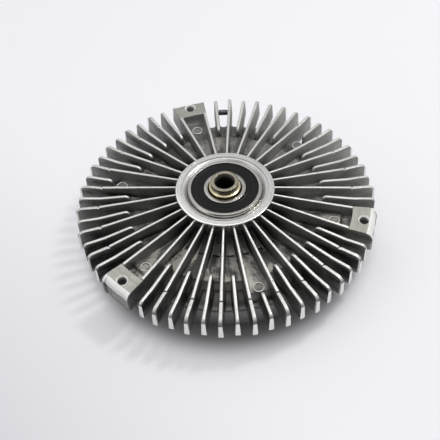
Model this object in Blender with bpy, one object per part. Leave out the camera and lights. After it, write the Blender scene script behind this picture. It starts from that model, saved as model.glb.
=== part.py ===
"""Viscous fan clutch for a car engine, built piece by piece.

Lengths are in metres. The clutch lies on its front cover, as it does on a bench: Z = 0 is the
plane of the front cover's fin edges, +Z runs along the shaft towards the engine, and +X runs
through the middle of one of the three fan lugs.
"""

import math

import bmesh
import bpy
from mathutils import Matrix

# Clearances between pieces.
SEAT_GAP = 0.0003
LAND_END_GAP = 0.0006
LAND_SIDE_GAP = 0.0004
ROTOR_FACE_GAP = 0.0007

# Front cover, measured up from the bench.
COVER_FIN_HEIGHT = 0.0090
COVER_THICKNESS = 0.0040
COVER_FIN_COUNT = 24
COVER_FIN_THICKNESS = 0.0015
COVER_FIN_SETBACK = 0.0010
COVER_FIN_CORNER = 0.0025
COVER_FIN_CLEARANCE = 0.0012
COVER_FIN_DRAFT = math.radians(2.0)
DOME_RADIUS = 0.0380
DOME_DEPTH = 0.0040
DOME_SLOPE = 0.0020
DOME_WALL = 0.0020
RESERVOIR_FLOOR = 0.0030
HUB_RING_RISE = 0.0014
HUB_RING_WALL = 0.0030
O_RING_SECTION = 0.0014
RETURN_SLOT_WIDTH = 0.0040
RETURN_SLOT_DEPTH = 0.0015

# Separator plate and the pump block that scrapes fluid off the rotor's edge.
PLATE_THICKNESS = 0.0010
PORT_RADIUS = 0.0025
RETURN_HOLE_RADIUS = 0.0011
PUMP_BLOCK_SPAN = math.radians(14.0)

# Rotor disc with the rings that shear the fluid.
ROTOR_RIM_THICKNESS = 0.0020
ROTOR_WEB_THICKNESS = 0.0028
ROTOR_RIM_WIDTH = 0.0077
ROTOR_HUB_WALL = 0.0057
LAND_COUNT = 4
LAND_PITCH = 0.0040
LAND_HEIGHT = 0.0046
ROTOR_HOLE_COUNT = 6
ROTOR_HOLE_RADIUS = 0.0024
ROTOR_HOLE_SETBACK = 0.0075

# Finned housing.
TIP_RADIUS = 0.0850
SHORT_TIP_SETBACK = 0.0010
FIN_OVERHANG = 0.01475
RIM_WALL = 0.00395
LEDGE_WIDTH = 0.0040
PUMP_SPACE = 0.0045
LIP_OVERLAP = 0.0018
LIP_THICKNESS = 0.0015
HOUSING_WALL = 0.0032
RIM_DECK_WALL = 0.0024
DRUM_WALL = 0.0050
DRUM_SLOPE = 0.0025
CHAMBER_SLOPE = 0.0025
SHELF_THICKNESS = 0.0033
SHELF_LIP = 0.0030
BOSS_WALL = 0.0064
BOSS_CHAMFER = 0.0006
BORE_CHAMFER = 0.0020
SKIRT_WIDTH = 0.0098
SKIRT_HEIGHT = 0.0045

# Fins. Their flanks are drafted, so a fin is thinner the higher it stands.
FIN_COUNT = 30
FIN_THICKNESS = 0.00175
FIN_DRAFT = math.radians(2.7)
FIN_DEPTH = 0.0128
FIN_CREST_RISE = 0.0057
FIN_BITE = 0.0012
FIN_FOOT_BITE = 0.0018
FIN_CORNER = 0.0042
LAND_STEP = 0.0004
SHORT_FIN_LAP = 0.0012
SHORT_FIN_DROP = 0.0010
SHORT_FIN_CORNER = 0.0028
CLIPPED_FIN_LEAD = 0.0043

# Lugs that carry the fan, and the round ejector pads cast between the fins.
LUG_COUNT = 3
LUG_LENGTH = 0.0135
LUG_SETBACK = 0.0005
LUG_FOOT_RISE = 0.0006
LUG_FLOOR_DROP = 0.0012
LUG_FLOOR_FILLET = 0.0020
SCREW_EDGE = 0.0066
SCREW_HOLE_RADIUS = 0.0025
SCREW_CHAMFER = 0.0008
PAD_COUNT = 6
PAD_SETBACK = 0.0066
PAD_RADIUS = 0.0032
PAD_RISE = 0.0006
PAD_FOOT_RISE = 0.0003
PLATFORM_DROP = 0.0004
PLATFORM_LENGTH = 0.0092
PLATFORM_SLOPE = 0.0020

# Ball bearing. Its bore follows the shaft, and its width and outer radius follow the balls.
BEARING_PROUD = 0.0006
INNER_RING_WALL = 0.0030
OUTER_RING_WALL = 0.0021
RACE_DEPTH = 0.0002
RACE_CHAMFER = 0.0006
BALL_COUNT = 8
BALL_RADIUS = 0.00375
CAGE_WALL = 0.0020
CAGE_FLOOR = 0.0009
CAGE_FINGER = 0.0010
CAGE_SEAL_GAP = 0.00045
SEAL_THICKNESS = 0.0008
SEAL_INSET = 0.0003
SEAL_BEAD = 0.0012
SEAL_STEP = 0.0002

# Hollow drive shaft.
SHAFT_RADIUS = 0.0085
SHAFT_WALL = 0.0027
FRONT_SLEEVE_WALL = 0.0014
BOLT_HEAD_DEPTH = 0.0068
SHAFT_NECK_STEP = 0.0007
SHAFT_NECK_LENGTH = 0.0051
SHAFT_BEAD_STEP = 0.0003
SHAFT_BEAD_HEIGHT = 0.0006
SHAFT_COLLAR_STEP = 0.0045
SHAFT_COLLAR_THICKNESS = 0.0048
ROTOR_SEAT_STEP = 0.0015
FRONT_SLEEVE_STEP = 0.0004
SHAFT_CHAMFER = 0.0004
CLIP_THICKNESS = 0.0010
CLIP_GROOVE_DEPTH = 0.0010
CLIP_WIDTH = 0.0024
CLIP_OPENING = math.radians(28.0)

# Shaft seal in the cover.
SHAFT_SEAL_WALL = 0.0021
SHAFT_SEAL_HEIGHT = 0.0050
SHAFT_SEAL_LIP = 0.0006
SEAL_SHOULDER = 0.0013
SEAL_SHOULDER_HEIGHT = 0.0022

# Thermostatic valve: strip outside, pin through the cover, lever inside. All lie along one chord.
VALVE_INSET = 0.0130
STRIP_WIDTH = 0.0100
STRIP_THICKNESS = 0.0010
STRIP_PIVOT_Y = -0.0170
STRIP_TAIL = 0.0030
STRIP_NOSE = 0.0090
STRIP_PAD_HEIGHT = 0.0008
RIVET_SPACING = 0.0052
RIVET_RADIUS = 0.0009
RIVET_HEAD_RADIUS = 0.0018
RIVET_HEAD_HEIGHT = 0.0008
RIVET_HEAD_EDGE = 0.0004
RIVET_ANCHOR = 0.0016
PIN_RADIUS = 0.0015
PIN_NOSE = 0.0005
BUSH_WALL = 0.0014
BUSH_COLLAR = 0.0010
BUSH_COLLAR_HEIGHT = 0.0008
LEVER_WIDTH = 0.0070
LEVER_THICKNESS = 0.0008
LEVER_PIVOT_Y = -0.0155
LEVER_TAIL = 0.0025
PORT_Y = 0.0150
LEVER_NOSE = 0.0035

# Roll pin driven between two fins to balance the clutch.
BALANCE_PIN_RADIUS = 0.0017
BALANCE_PIN_WALL = 0.0006
BALANCE_PIN_SLIT = math.radians(36.0)
BALANCE_PIN_DROP = 0.0046
BALANCE_PIN_INSET = 0.0094
BALANCE_PIN_FIN = 9

# Facets of turned shapes. The housing's outer facets meet under its fins.
FACETS = 2 * FIN_COUNT
CHAMBER_FACETS = 36
SHAFT_FACETS = 24
SMALL_FACETS = 12
TINY_FACETS = 8
CORNER_STEPS = 3
SMALL_CORNER_STEPS = 2
RACE_STEPS = 3
LUG_STEPS = 2
PUMP_BLOCK_STEPS = 3
CLIP_STEPS = 20
SHARP_ANGLE = math.radians(30.0)

# How far a cutting tool runs past the face that it cuts, and how close points are merged.
CUT_PAST = 0.0020
MERGE_DISTANCE = 1e-7

# Size at which a joint's empty is drawn.
EMPTY_SIZE = 0.01

# Radii that follow from the shaft outwards.
SHAFT_NECK_RADIUS = SHAFT_RADIUS - SHAFT_NECK_STEP
SHAFT_BEAD_RADIUS = SHAFT_RADIUS + SHAFT_BEAD_STEP
SHAFT_COLLAR_RADIUS = SHAFT_RADIUS + SHAFT_COLLAR_STEP
ROTOR_SEAT_RADIUS = SHAFT_RADIUS + ROTOR_SEAT_STEP
ROTOR_HUB_RADIUS = ROTOR_SEAT_RADIUS + SEAT_GAP + ROTOR_HUB_WALL
ROTOR_HOLE_CIRCLE = ROTOR_HUB_RADIUS + ROTOR_HOLE_SETBACK
FRONT_SLEEVE_RADIUS = ROTOR_SEAT_RADIUS - FRONT_SLEEVE_STEP
BOLT_BORE_RADIUS = SHAFT_RADIUS - SHAFT_WALL
BOLT_HEAD_RADIUS = FRONT_SLEEVE_RADIUS - FRONT_SLEEVE_WALL
INNER_RACE_RADIUS = SHAFT_RADIUS + SEAT_GAP + INNER_RING_WALL
BALL_CIRCLE = INNER_RACE_RADIUS - RACE_DEPTH + BALL_RADIUS
OUTER_RACE_RADIUS = BALL_CIRCLE + BALL_RADIUS - RACE_DEPTH
BEARING_RADIUS = OUTER_RACE_RADIUS + OUTER_RING_WALL
RACE_RADIUS = BALL_RADIUS + SEAT_GAP
BEARING_WIDTH = 2 * (RACE_RADIUS + CAGE_FLOOR + CAGE_SEAL_GAP + SEAL_THICKNESS + SEAL_INSET)
BOSS_RADIUS = BEARING_RADIUS + SEAT_GAP + BOSS_WALL
SKIRT_RADIUS = BOSS_RADIUS + SKIRT_WIDTH
SEAL_BORE_RADIUS = FRONT_SLEEVE_RADIUS + 2 * SEAT_GAP + SHAFT_SEAL_WALL
SLEEVE_RADIUS = SEAL_BORE_RADIUS + HUB_RING_WALL

# Heights that follow from the stack of pieces.
COVER_INNER_Z = COVER_FIN_HEIGHT + COVER_THICKNESS
DOME_Z = COVER_FIN_HEIGHT - DOME_DEPTH
RESERVOIR_Z = DOME_Z + RESERVOIR_FLOOR
PLATE_Z = COVER_INNER_Z + SEAT_GAP
PLATE_TOP_Z = PLATE_Z + PLATE_THICKNESS
LEVER_TOP_Z = PLATE_Z - SEAT_GAP
LEVER_LOW_Z = LEVER_TOP_Z - LEVER_THICKNESS
ROTOR_Z = PLATE_TOP_Z + ROTOR_FACE_GAP
ROTOR_RIM_Z = ROTOR_Z + ROTOR_RIM_THICKNESS
ROTOR_WEB_Z = ROTOR_Z + ROTOR_WEB_THICKNESS
ROTOR_LAND_Z = ROTOR_WEB_Z + LAND_HEIGHT
CEILING_Z = ROTOR_LAND_Z + LAND_END_GAP
RIM_CEILING_Z = ROTOR_RIM_Z + LAND_END_GAP
PLATEAU_Z = CEILING_Z + HOUSING_WALL
RIM_DECK_Z = RIM_CEILING_Z + RIM_DECK_WALL
FIN_FOOT_Z = RIM_DECK_Z - FIN_FOOT_BITE
FAN_FACE_Z = FIN_FOOT_Z + FIN_DEPTH
LUG_FOOT_Z = FIN_FOOT_Z + LUG_FOOT_RISE
PLATFORM_Z = PLATEAU_Z - PLATFORM_DROP
PLATFORM_FOOT_Z = RIM_DECK_Z - FIN_BITE
LUG_FLOOR_Z = PLATFORM_Z - LUG_FLOOR_DROP
SHELF_Z = CEILING_Z + SHELF_THICKNESS
BEARING_Z = SHELF_Z + SEAT_GAP
BEARING_TOP_Z = BEARING_Z + BEARING_WIDTH
BALL_Z = BEARING_Z + BEARING_WIDTH / 2
BOSS_TOP_Z = BEARING_TOP_Z - BEARING_PROUD
COLLAR_Z = BEARING_Z - SEAT_GAP - SHAFT_COLLAR_THICKNESS
SHAFT_TOP_Z = BEARING_TOP_Z + SHAFT_NECK_LENGTH
STRIP_PAD_Z = DOME_Z - STRIP_PAD_HEIGHT
STRIP_TOP_Z = STRIP_PAD_Z - SEAT_GAP
LIP_TOP_Z = COVER_FIN_HEIGHT - SEAT_GAP
LIP_Z = LIP_TOP_Z - LIP_THICKNESS
HUB_RING_Z = DOME_Z - HUB_RING_RISE
SHAFT_FRONT_Z = HUB_RING_Z + SEAT_GAP

# Radii that follow from the fin tips inwards.
SHORT_TIP_RADIUS = TIP_RADIUS - SHORT_TIP_SETBACK
LAND_RADIUS = TIP_RADIUS - LUG_LENGTH
SCREW_CIRCLE_RADIUS = TIP_RADIUS - SCREW_EDGE
DRUM_RADIUS = TIP_RADIUS - FIN_OVERHANG
COVER_RADIUS = DRUM_RADIUS - RIM_WALL - SEAT_GAP
CHAMBER_RADIUS = COVER_RADIUS - LEDGE_WIDTH
ROTOR_RADIUS = CHAMBER_RADIUS - PUMP_SPACE
LAND_THICKNESS = LAND_PITCH / 2 - LAND_SIDE_GAP
OUTER_LAND_EDGE = ROTOR_RADIUS - ROTOR_RIM_WIDTH
CHAMBER_STEP_RADIUS = OUTER_LAND_EDGE + LAND_END_GAP
PLATEAU_RADIUS = CHAMBER_STEP_RADIUS + DRUM_WALL
PLATFORM_END = PLATEAU_RADIUS + PLATFORM_LENGTH
SHORT_FIN_START = PLATEAU_RADIUS - SHORT_FIN_LAP
CLIPPED_FIN_START = LAND_RADIUS - CLIPPED_FIN_LEAD
PAD_CIRCLE = PLATEAU_RADIUS + PAD_SETBACK
PUMP_CIRCLE = ROTOR_RADIUS + PUMP_SPACE / 2
COVER_FIN_START = DOME_RADIUS + DOME_SLOPE + COVER_FIN_SETBACK
RESERVOIR_RADIUS = DOME_RADIUS - DOME_WALL
VALVE_X = DOME_RADIUS - VALVE_INSET

# Angles round the shaft.
FIN_PITCH = 2 * math.pi / FIN_COUNT
FINS_PER_LUG = FIN_COUNT // LUG_COUNT
RETURN_ANGLE = math.pi
BALANCE_PIN_ANGLE = (BALANCE_PIN_FIN - 0.25) * FIN_PITCH

# Colour, roughness and metallic share of each finish.
FINISHES = {
    "cast_aluminium": ((0.56, 0.57, 0.56), 0.45, 1.0),
    "turned_aluminium": ((0.78, 0.78, 0.77), 0.25, 1.0),
    "bearing_steel": ((0.62, 0.62, 0.61), 0.22, 1.0),
    "plated_steel": ((0.66, 0.60, 0.46), 0.30, 1.0),
    "sheet_steel": ((0.50, 0.50, 0.50), 0.35, 1.0),
    "dark_steel": ((0.20, 0.20, 0.20), 0.40, 1.0),
    "bimetal": ((0.62, 0.52, 0.38), 0.35, 1.0),
    "seal_rubber": ((0.020, 0.019, 0.022), 0.55, 0.0),
}


def make_material(name, surface):
    """A Principled material of its own for one piece."""
    colour, roughness, metallic = FINISHES[surface]
    material = bpy.data.materials.new(name)
    material.use_nodes = True
    shader = material.node_tree.nodes["Principled BSDF"]
    shader.inputs["Base Color"].default_value = (*colour, 1.0)
    shader.inputs["Roughness"].default_value = roughness
    shader.inputs["Metallic"].default_value = metallic
    material.diffuse_color = (*colour, 1.0)
    return material


def finish(obj, surface, parent=None):
    """Gives an object its material and its parent empty, with smooth round faces and crisp edges."""
    obj.data.materials.clear()
    obj.data.materials.append(make_material(obj.name, surface))
    obj.data.shade_smooth()
    obj.data.set_sharp_from_angle(angle=SHARP_ANGLE)
    if parent is not None:
        obj.parent = parent
        obj.matrix_parent_inverse = Matrix.Translation(-parent.location)


def new_object(name, bm, surface=None, parent=None):
    """The bmesh as a named object. A tool for a boolean needs no surface."""
    bmesh.ops.recalc_face_normals(bm, faces=bm.faces)
    mesh = bpy.data.meshes.new(name)
    bm.to_mesh(mesh)
    bm.free()
    obj = bpy.data.objects.new(name, mesh)
    bpy.context.scene.collection.objects.link(obj)
    if surface is not None:
        finish(obj, surface, parent)
    return obj


def joint_empty(name, x=0.0, y=0.0, z=0.0):
    """An empty that stands on a joint's axis and carries the pieces that move with it."""
    empty = bpy.data.objects.new(name, None)
    empty.location = (x, y, z)
    empty.empty_display_size = EMPTY_SIZE
    bpy.context.scene.collection.objects.link(empty)
    return empty


def boolean(target, tool, operation):
    """Joins the tool to the target or cuts it away, and removes the tool."""
    modifier = target.modifiers.new(operation, "BOOLEAN")
    modifier.operation = operation
    modifier.object = tool
    graph = bpy.context.evaluated_depsgraph_get()
    result = bpy.data.meshes.new_from_object(target.evaluated_get(graph))
    target.modifiers.clear()
    target.data = result
    bpy.data.objects.remove(tool)


def arc(centre_r, centre_z, radius, start, end, steps):
    """Points of an arc in the (r, z) plane, from one angle in degrees to another."""
    points = []
    for i in range(steps + 1):
        angle = math.radians(start + (end - start) * i / steps)
        points.append((centre_r + radius * math.cos(angle), centre_z + radius * math.sin(angle)))
    return points


def add_turned(bm, outline, facets, centre=(0.0, 0.0), phase=0.5):
    """Spins a closed (r, z) outline once round a vertical axis. An outline may touch the axis."""
    ring = [bm.verts.new((r, 0.0, z)) for r, z in outline]
    edges = [bm.edges.new((a, b)) for a, b in zip(ring, ring[1:] + ring[:1])]
    before = set(bm.verts) - set(ring)
    bmesh.ops.spin(
        bm, geom=ring + edges, cent=(0, 0, 0), axis=(0, 0, 1), angle=2 * math.pi,
        steps=facets, use_merge=True,
    )
    made = [v for v in bm.verts if v not in before]
    bmesh.ops.remove_doubles(bm, verts=made, dist=MERGE_DISTANCE)
    made = [v for v in bm.verts if v not in before]
    bmesh.ops.rotate(bm, verts=made, matrix=Matrix.Rotation(phase * 2 * math.pi / facets, 3, "Z"))
    bmesh.ops.translate(bm, verts=made, vec=(*centre, 0.0))


def turned(name, outline, facets, surface=None, parent=None, centre=(0.0, 0.0), phase=0.5):
    """A solid of revolution."""
    bm = bmesh.new()
    add_turned(bm, outline, facets, centre, phase)
    bmesh.ops.dissolve_degenerate(bm, dist=MERGE_DISTANCE, edges=bm.edges)
    return new_object(name, bm, surface, parent)


def add_sector(bm, outline, start, end, steps):
    """Spins a closed (r, z) outline through part of a turn and closes both ends."""
    rings = []
    for i in range(steps + 1):
        angle = start + (end - start) * i / steps
        c, s = math.cos(angle), math.sin(angle)
        rings.append([bm.verts.new((r * c, r * s, z)) for r, z in outline])
    count = len(outline)
    for near, far in zip(rings, rings[1:]):
        for i in range(count):
            j = (i + 1) % count
            bm.faces.new((near[i], near[j], far[j], far[i]))
    bm.faces.new(rings[0])
    bm.faces.new(rings[-1])


def add_slab(bm, outline, half_width, angle):
    """A fin: a closed (r, z) outline given the width 2 * half_width(z) and turned to its angle."""
    turn = Matrix.Rotation(angle, 3, "Z")
    left = [bm.verts.new((r, half_width(z), z)) for r, z in outline]
    right = [bm.verts.new((r, -half_width(z), z)) for r, z in outline]
    count = len(outline)
    bm.faces.new(left)
    bm.faces.new(right)
    for i in range(count):
        j = (i + 1) % count
        bm.faces.new((left[i], left[j], right[j], right[i]))
    bmesh.ops.rotate(bm, verts=left + right, matrix=turn)


def add_box(bm, low, high):
    """A block between two corners."""
    size = [h - l for l, h in zip(low, high)]
    middle = [(h + l) / 2 for l, h in zip(low, high)]
    made = bmesh.ops.create_cube(bm, size=1.0)["verts"]
    bmesh.ops.scale(bm, vec=size, verts=made)
    bmesh.ops.translate(bm, vec=middle, verts=made)
    return made


def round_place(radius, angle):
    """The (x, y) of a point at a radius and an angle."""
    return radius * math.cos(angle), radius * math.sin(angle)


def add_rod(bm, x, y, radius, z_low, z_high, facets=SMALL_FACETS):
    """An upright round rod."""
    add_turned(bm, [(0, z_low), (radius, z_low), (radius, z_high), (0, z_high)], facets, (x, y))


def fin_half_width(z):
    """Half a housing fin's thickness at a height."""
    return FIN_THICKNESS / 2 + (FAN_FACE_Z - z) * math.tan(FIN_DRAFT)


def fin_crest(r):
    """Height of a long fin's cast crest, which falls in a straight line from boss to machined land."""
    share = (r - BOSS_RADIUS) / (LAND_RADIUS - BOSS_RADIUS)
    return FAN_FACE_Z + LAND_STEP + (FIN_CREST_RISE - LAND_STEP) * (1 - share)


def fin_root(start):
    """Lower edge of a fin, sunk a little into the plateau, the drum's slope and the rim deck."""
    top_z = PLATEAU_Z - FIN_BITE
    plateau_end = PLATEAU_RADIUS - 2 * FIN_BITE
    deck_start = plateau_end + DRUM_SLOPE
    if start >= deck_start:
        return [(start, FIN_FOOT_Z)]
    if start >= plateau_end:
        return [(start, top_z), (max(start, deck_start) + FIN_BITE, FIN_FOOT_Z)]
    return [(start, top_z), (plateau_end, top_z), (deck_start, FIN_FOOT_Z)]


def long_fin_outline():
    """Side view of a fin that runs from the boss to the tip, with its machined land."""
    start = BOSS_RADIUS - FIN_BITE
    corner = arc(TIP_RADIUS - FIN_CORNER, FAN_FACE_Z - FIN_CORNER, FIN_CORNER, 0, 90, CORNER_STEPS)
    return (
        fin_root(start)
        + [(TIP_RADIUS, FIN_FOOT_Z)]
        + corner
        + [(LAND_RADIUS, FAN_FACE_Z), (LAND_RADIUS, FAN_FACE_Z + LAND_STEP), (start, fin_crest(start))]
    )


def short_fin_outline(start):
    """Side view of a fin that starts part of the way out, a little lower than the long ones."""
    radius = SHORT_FIN_CORNER
    bend = max(LAND_RADIUS, start + radius)
    level = fin_crest(LAND_RADIUS) - SHORT_FIN_DROP
    crest = level if start >= LAND_RADIUS - radius else fin_crest(start + radius) - SHORT_FIN_DROP
    outer = arc(SHORT_TIP_RADIUS - radius, level - radius, radius, 0, 90, SMALL_CORNER_STEPS)
    inner = arc(start + radius, crest - radius, radius, 90, 180, SMALL_CORNER_STEPS)
    return fin_root(start) + [(SHORT_TIP_RADIUS, FIN_FOOT_Z)] + outer + [(bend, level)] + inner


def rotor_land_centres():
    """Radii of the rotor's rings, from the outermost inwards."""
    first = OUTER_LAND_EDGE - LAND_THICKNESS / 2
    return [first - i * LAND_PITCH for i in range(LAND_COUNT)]


def housing_outline():
    """Outer section of the housing before it is hollowed: boss, plateau, slope, deck and drum."""
    return [
        (0, BOSS_TOP_Z),
        (BOSS_RADIUS - BOSS_CHAMFER, BOSS_TOP_Z),
        (BOSS_RADIUS, BOSS_TOP_Z - BOSS_CHAMFER),
        (BOSS_RADIUS, PLATEAU_Z + SKIRT_HEIGHT),
        (SKIRT_RADIUS, PLATEAU_Z),
        (PLATEAU_RADIUS, PLATEAU_Z),
        (PLATEAU_RADIUS + DRUM_SLOPE, RIM_DECK_Z),
        (DRUM_RADIUS, RIM_DECK_Z),
        (DRUM_RADIUS, LIP_Z),
        (0, LIP_Z),
    ]


def chamber_outline():
    """Section of what is hollowed out: cover seat, working chamber with its rings, bearing seat."""
    seat_radius = BEARING_RADIUS + SEAT_GAP
    shelf_radius = BEARING_RADIUS - SHELF_LIP
    front = [
        (0, LIP_Z - CUT_PAST),
        (COVER_RADIUS - LIP_OVERLAP, LIP_Z - CUT_PAST),
        (COVER_RADIUS - LIP_OVERLAP, LIP_TOP_Z),
        (COVER_RADIUS + SEAT_GAP, LIP_TOP_Z),
        (COVER_RADIUS + SEAT_GAP, PLATE_Z),
        (CHAMBER_RADIUS, PLATE_Z),
        (CHAMBER_RADIUS, RIM_CEILING_Z),
        (CHAMBER_STEP_RADIUS + CHAMBER_SLOPE, RIM_CEILING_Z),
        (CHAMBER_STEP_RADIUS, CEILING_Z),
    ]
    rings = []
    ring_foot = ROTOR_WEB_Z + LAND_END_GAP
    for centre in rotor_land_centres():
        outer = centre - LAND_PITCH / 2 + LAND_THICKNESS / 2
        inner = outer - LAND_THICKNESS
        rings += [(outer, CEILING_Z), (outer, ring_foot), (inner, ring_foot), (inner, CEILING_Z)]
    rear = [
        (shelf_radius, CEILING_Z),
        (shelf_radius, SHELF_Z),
        (seat_radius, SHELF_Z),
        (seat_radius, BOSS_TOP_Z - BORE_CHAMFER),
        (seat_radius + BORE_CHAMFER, BOSS_TOP_Z),
        (seat_radius + BORE_CHAMFER, BOSS_TOP_Z + CUT_PAST),
        (0, BOSS_TOP_Z + CUT_PAST),
    ]
    return front + rings + rear


def lug_outline():
    """Side view of a fan lug, its floor, and the raised ground of the pad before it."""
    start = PLATEAU_RADIUS - FIN_BITE
    outer = TIP_RADIUS - LUG_SETBACK
    corner = arc(outer - FIN_CORNER, FAN_FACE_Z - FIN_CORNER, FIN_CORNER, 0, 90, CORNER_STEPS)
    floor = [
        (LAND_RADIUS, FAN_FACE_Z),
        (LAND_RADIUS, LUG_FLOOR_Z + LUG_FLOOR_FILLET),
        (LAND_RADIUS - LUG_FLOOR_FILLET, LUG_FLOOR_Z),
        (PLATFORM_END + PLATFORM_SLOPE, LUG_FLOOR_Z),
        (PLATFORM_END, PLATFORM_Z),
        (start, PLATFORM_Z),
    ]
    return [(start, LUG_FOOT_Z), (outer, LUG_FOOT_Z)] + corner + floor


def platform_outline():
    """Side view of the raised ground that an ejector pad stands on."""
    start = PLATEAU_RADIUS - FIN_BITE
    return [
        (start, PLATFORM_FOOT_Z),
        (PLATFORM_END + PLATFORM_SLOPE, PLATFORM_FOOT_Z),
        (PLATFORM_END, PLATFORM_Z),
        (start, PLATFORM_Z),
    ]


def build_housing():
    """The one-piece casting: turned body, long and short fins, three fan lugs and six pads."""
    housing = turned("finned_housing", housing_outline(), FACETS, phase=0)
    fins = bmesh.new()
    lugs = bmesh.new()
    pads = bmesh.new()
    holes = bmesh.new()
    gaps_per_pad = FIN_COUNT // PAD_COUNT
    for gap in range(FIN_COUNT):
        middle = gap * FIN_PITCH
        before, after = middle - FIN_PITCH / 2, middle + FIN_PITCH / 2
        add_slab(fins, long_fin_outline(), fin_half_width, after)
        is_lug_gap = gap % FINS_PER_LUG == 0
        is_pad_gap = gap % gaps_per_pad == 0
        if is_pad_gap:
            outline = lug_outline() if is_lug_gap else platform_outline()
            add_sector(lugs, outline, before, after, LUG_STEPS)
            pad_foot = PLATFORM_FOOT_Z + PAD_FOOT_RISE
            add_rod(pads, *round_place(PAD_CIRCLE, middle), PAD_RADIUS, pad_foot, PLATFORM_Z + PAD_RISE)
        if is_lug_gap:
            add_screw_hole(holes, middle)
        else:
            start = CLIPPED_FIN_START if is_pad_gap else SHORT_FIN_START
            add_slab(fins, short_fin_outline(start), fin_half_width, middle)
    boolean(housing, new_object("fins", fins), "UNION")
    boolean(housing, new_object("lugs", lugs), "UNION")
    boolean(housing, new_object("pads", pads), "UNION")
    boolean(housing, turned("chamber", chamber_outline(), CHAMBER_FACETS), "DIFFERENCE")
    boolean(housing, new_object("screw_holes", holes), "DIFFERENCE")
    finish(housing, "cast_aluminium")


def add_screw_hole(bm, angle):
    """A drilled hole through a lug, with a chamfered mouth on the fan's side."""
    mouth = SCREW_HOLE_RADIUS + SCREW_CHAMFER
    outline = [
        (0, LUG_FOOT_Z - CUT_PAST),
        (SCREW_HOLE_RADIUS, LUG_FOOT_Z - CUT_PAST),
        (SCREW_HOLE_RADIUS, FAN_FACE_Z - SCREW_CHAMFER),
        (mouth, FAN_FACE_Z),
        (mouth, FAN_FACE_Z + CUT_PAST),
        (0, FAN_FACE_Z + CUT_PAST),
    ]
    add_turned(bm, outline, SMALL_FACETS, round_place(SCREW_CIRCLE_RADIUS, angle))


def cover_fin_half_width(z):
    """Half a cover fin's thickness: thinnest at its edge on the bench."""
    return COVER_FIN_THICKNESS / 2 + z * math.tan(COVER_FIN_DRAFT)


def cover_outline():
    """Section of the cover: sleeve with the seal's seat, dished middle, flat outer part, edge groove."""
    groove_depth = O_RING_SECTION + SEAT_GAP
    groove_z = COVER_FIN_HEIGHT + (COVER_THICKNESS - O_RING_SECTION) / 2
    shoulder = SEAL_BORE_RADIUS - SEAL_SHOULDER
    return [
        (shoulder, HUB_RING_Z),
        (SLEEVE_RADIUS, HUB_RING_Z),
        (SLEEVE_RADIUS, DOME_Z),
        (DOME_RADIUS, DOME_Z),
        (DOME_RADIUS + DOME_SLOPE, COVER_FIN_HEIGHT),
        (COVER_RADIUS, COVER_FIN_HEIGHT),
        (COVER_RADIUS, groove_z),
        (COVER_RADIUS - groove_depth, groove_z),
        (COVER_RADIUS - groove_depth, groove_z + O_RING_SECTION),
        (COVER_RADIUS, groove_z + O_RING_SECTION),
        (COVER_RADIUS, COVER_INNER_Z),
        (RESERVOIR_RADIUS, COVER_INNER_Z),
        (RESERVOIR_RADIUS, RESERVOIR_Z),
        (SLEEVE_RADIUS, RESERVOIR_Z),
        (SLEEVE_RADIUS, COVER_INNER_Z),
        (SEAL_BORE_RADIUS, COVER_INNER_Z),
        (SEAL_BORE_RADIUS, HUB_RING_Z + SEAL_SHOULDER_HEIGHT),
        (shoulder, HUB_RING_Z + SEAL_SHOULDER_HEIGHT),
    ]


def cover_fin_outline():
    """Side view of a cover fin, its lower corners rounded."""
    end = COVER_RADIUS - LIP_OVERLAP - COVER_FIN_CLEARANCE
    root_z = COVER_FIN_HEIGHT + FIN_BITE
    corner = COVER_FIN_CORNER
    inner = arc(COVER_FIN_START + corner, corner, corner, 180, 270, SMALL_CORNER_STEPS)
    outer = arc(end - corner, corner, corner, 270, 360, SMALL_CORNER_STEPS)
    return [(COVER_FIN_START, root_z)] + inner + outer + [(end, root_z)]


def build_cover():
    """Front cover: dished plate with a central sleeve, radial fins and a pad for the strip."""
    cover = turned("front_cover", cover_outline(), CHAMBER_FACETS)
    added = bmesh.new()
    for i in range(COVER_FIN_COUNT):
        angle = (i + 0.5) * 2 * math.pi / COVER_FIN_COUNT
        add_slab(added, cover_fin_outline(), cover_fin_half_width, angle)
    half = STRIP_WIDTH / 2
    low = (VALVE_X - half, STRIP_PIVOT_Y - STRIP_TAIL, STRIP_PAD_Z)
    high = (VALVE_X + half, STRIP_PIVOT_Y + STRIP_TAIL, DOME_Z + FIN_BITE)
    add_box(added, low, high)
    boolean(cover, new_object("cover_fins", added), "UNION")
    boolean(cover, new_object("cover_holes", cover_cutters()), "DIFFERENCE")
    finish(cover, "cast_aluminium")


def cover_cutters():
    """What is cut from the cover: bush hole, rivet holes and the slot that leads the fluid back."""
    cut = bmesh.new()
    bush_hole = PIN_RADIUS + 2 * SEAT_GAP + BUSH_WALL
    add_rod(cut, VALVE_X, 0.0, bush_hole, DOME_Z - CUT_PAST, RESERVOIR_Z + CUT_PAST)
    rivet_hole = RIVET_RADIUS + SEAT_GAP
    for x in rivet_places():
        low, high = STRIP_PAD_Z - CUT_PAST, DOME_Z + RIVET_ANCHOR
        add_rod(cut, x, STRIP_PIVOT_Y, rivet_hole, low, high, TINY_FACETS)
    half = RETURN_SLOT_WIDTH / 2
    low = (RESERVOIR_RADIUS - CUT_PAST, -half, COVER_INNER_Z - RETURN_SLOT_DEPTH)
    high = (PUMP_CIRCLE + RETURN_HOLE_RADIUS, half, COVER_INNER_Z + CUT_PAST)
    slot = add_box(cut, low, high)
    bmesh.ops.rotate(cut, verts=slot, matrix=Matrix.Rotation(RETURN_ANGLE, 3, "Z"))
    return cut


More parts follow.
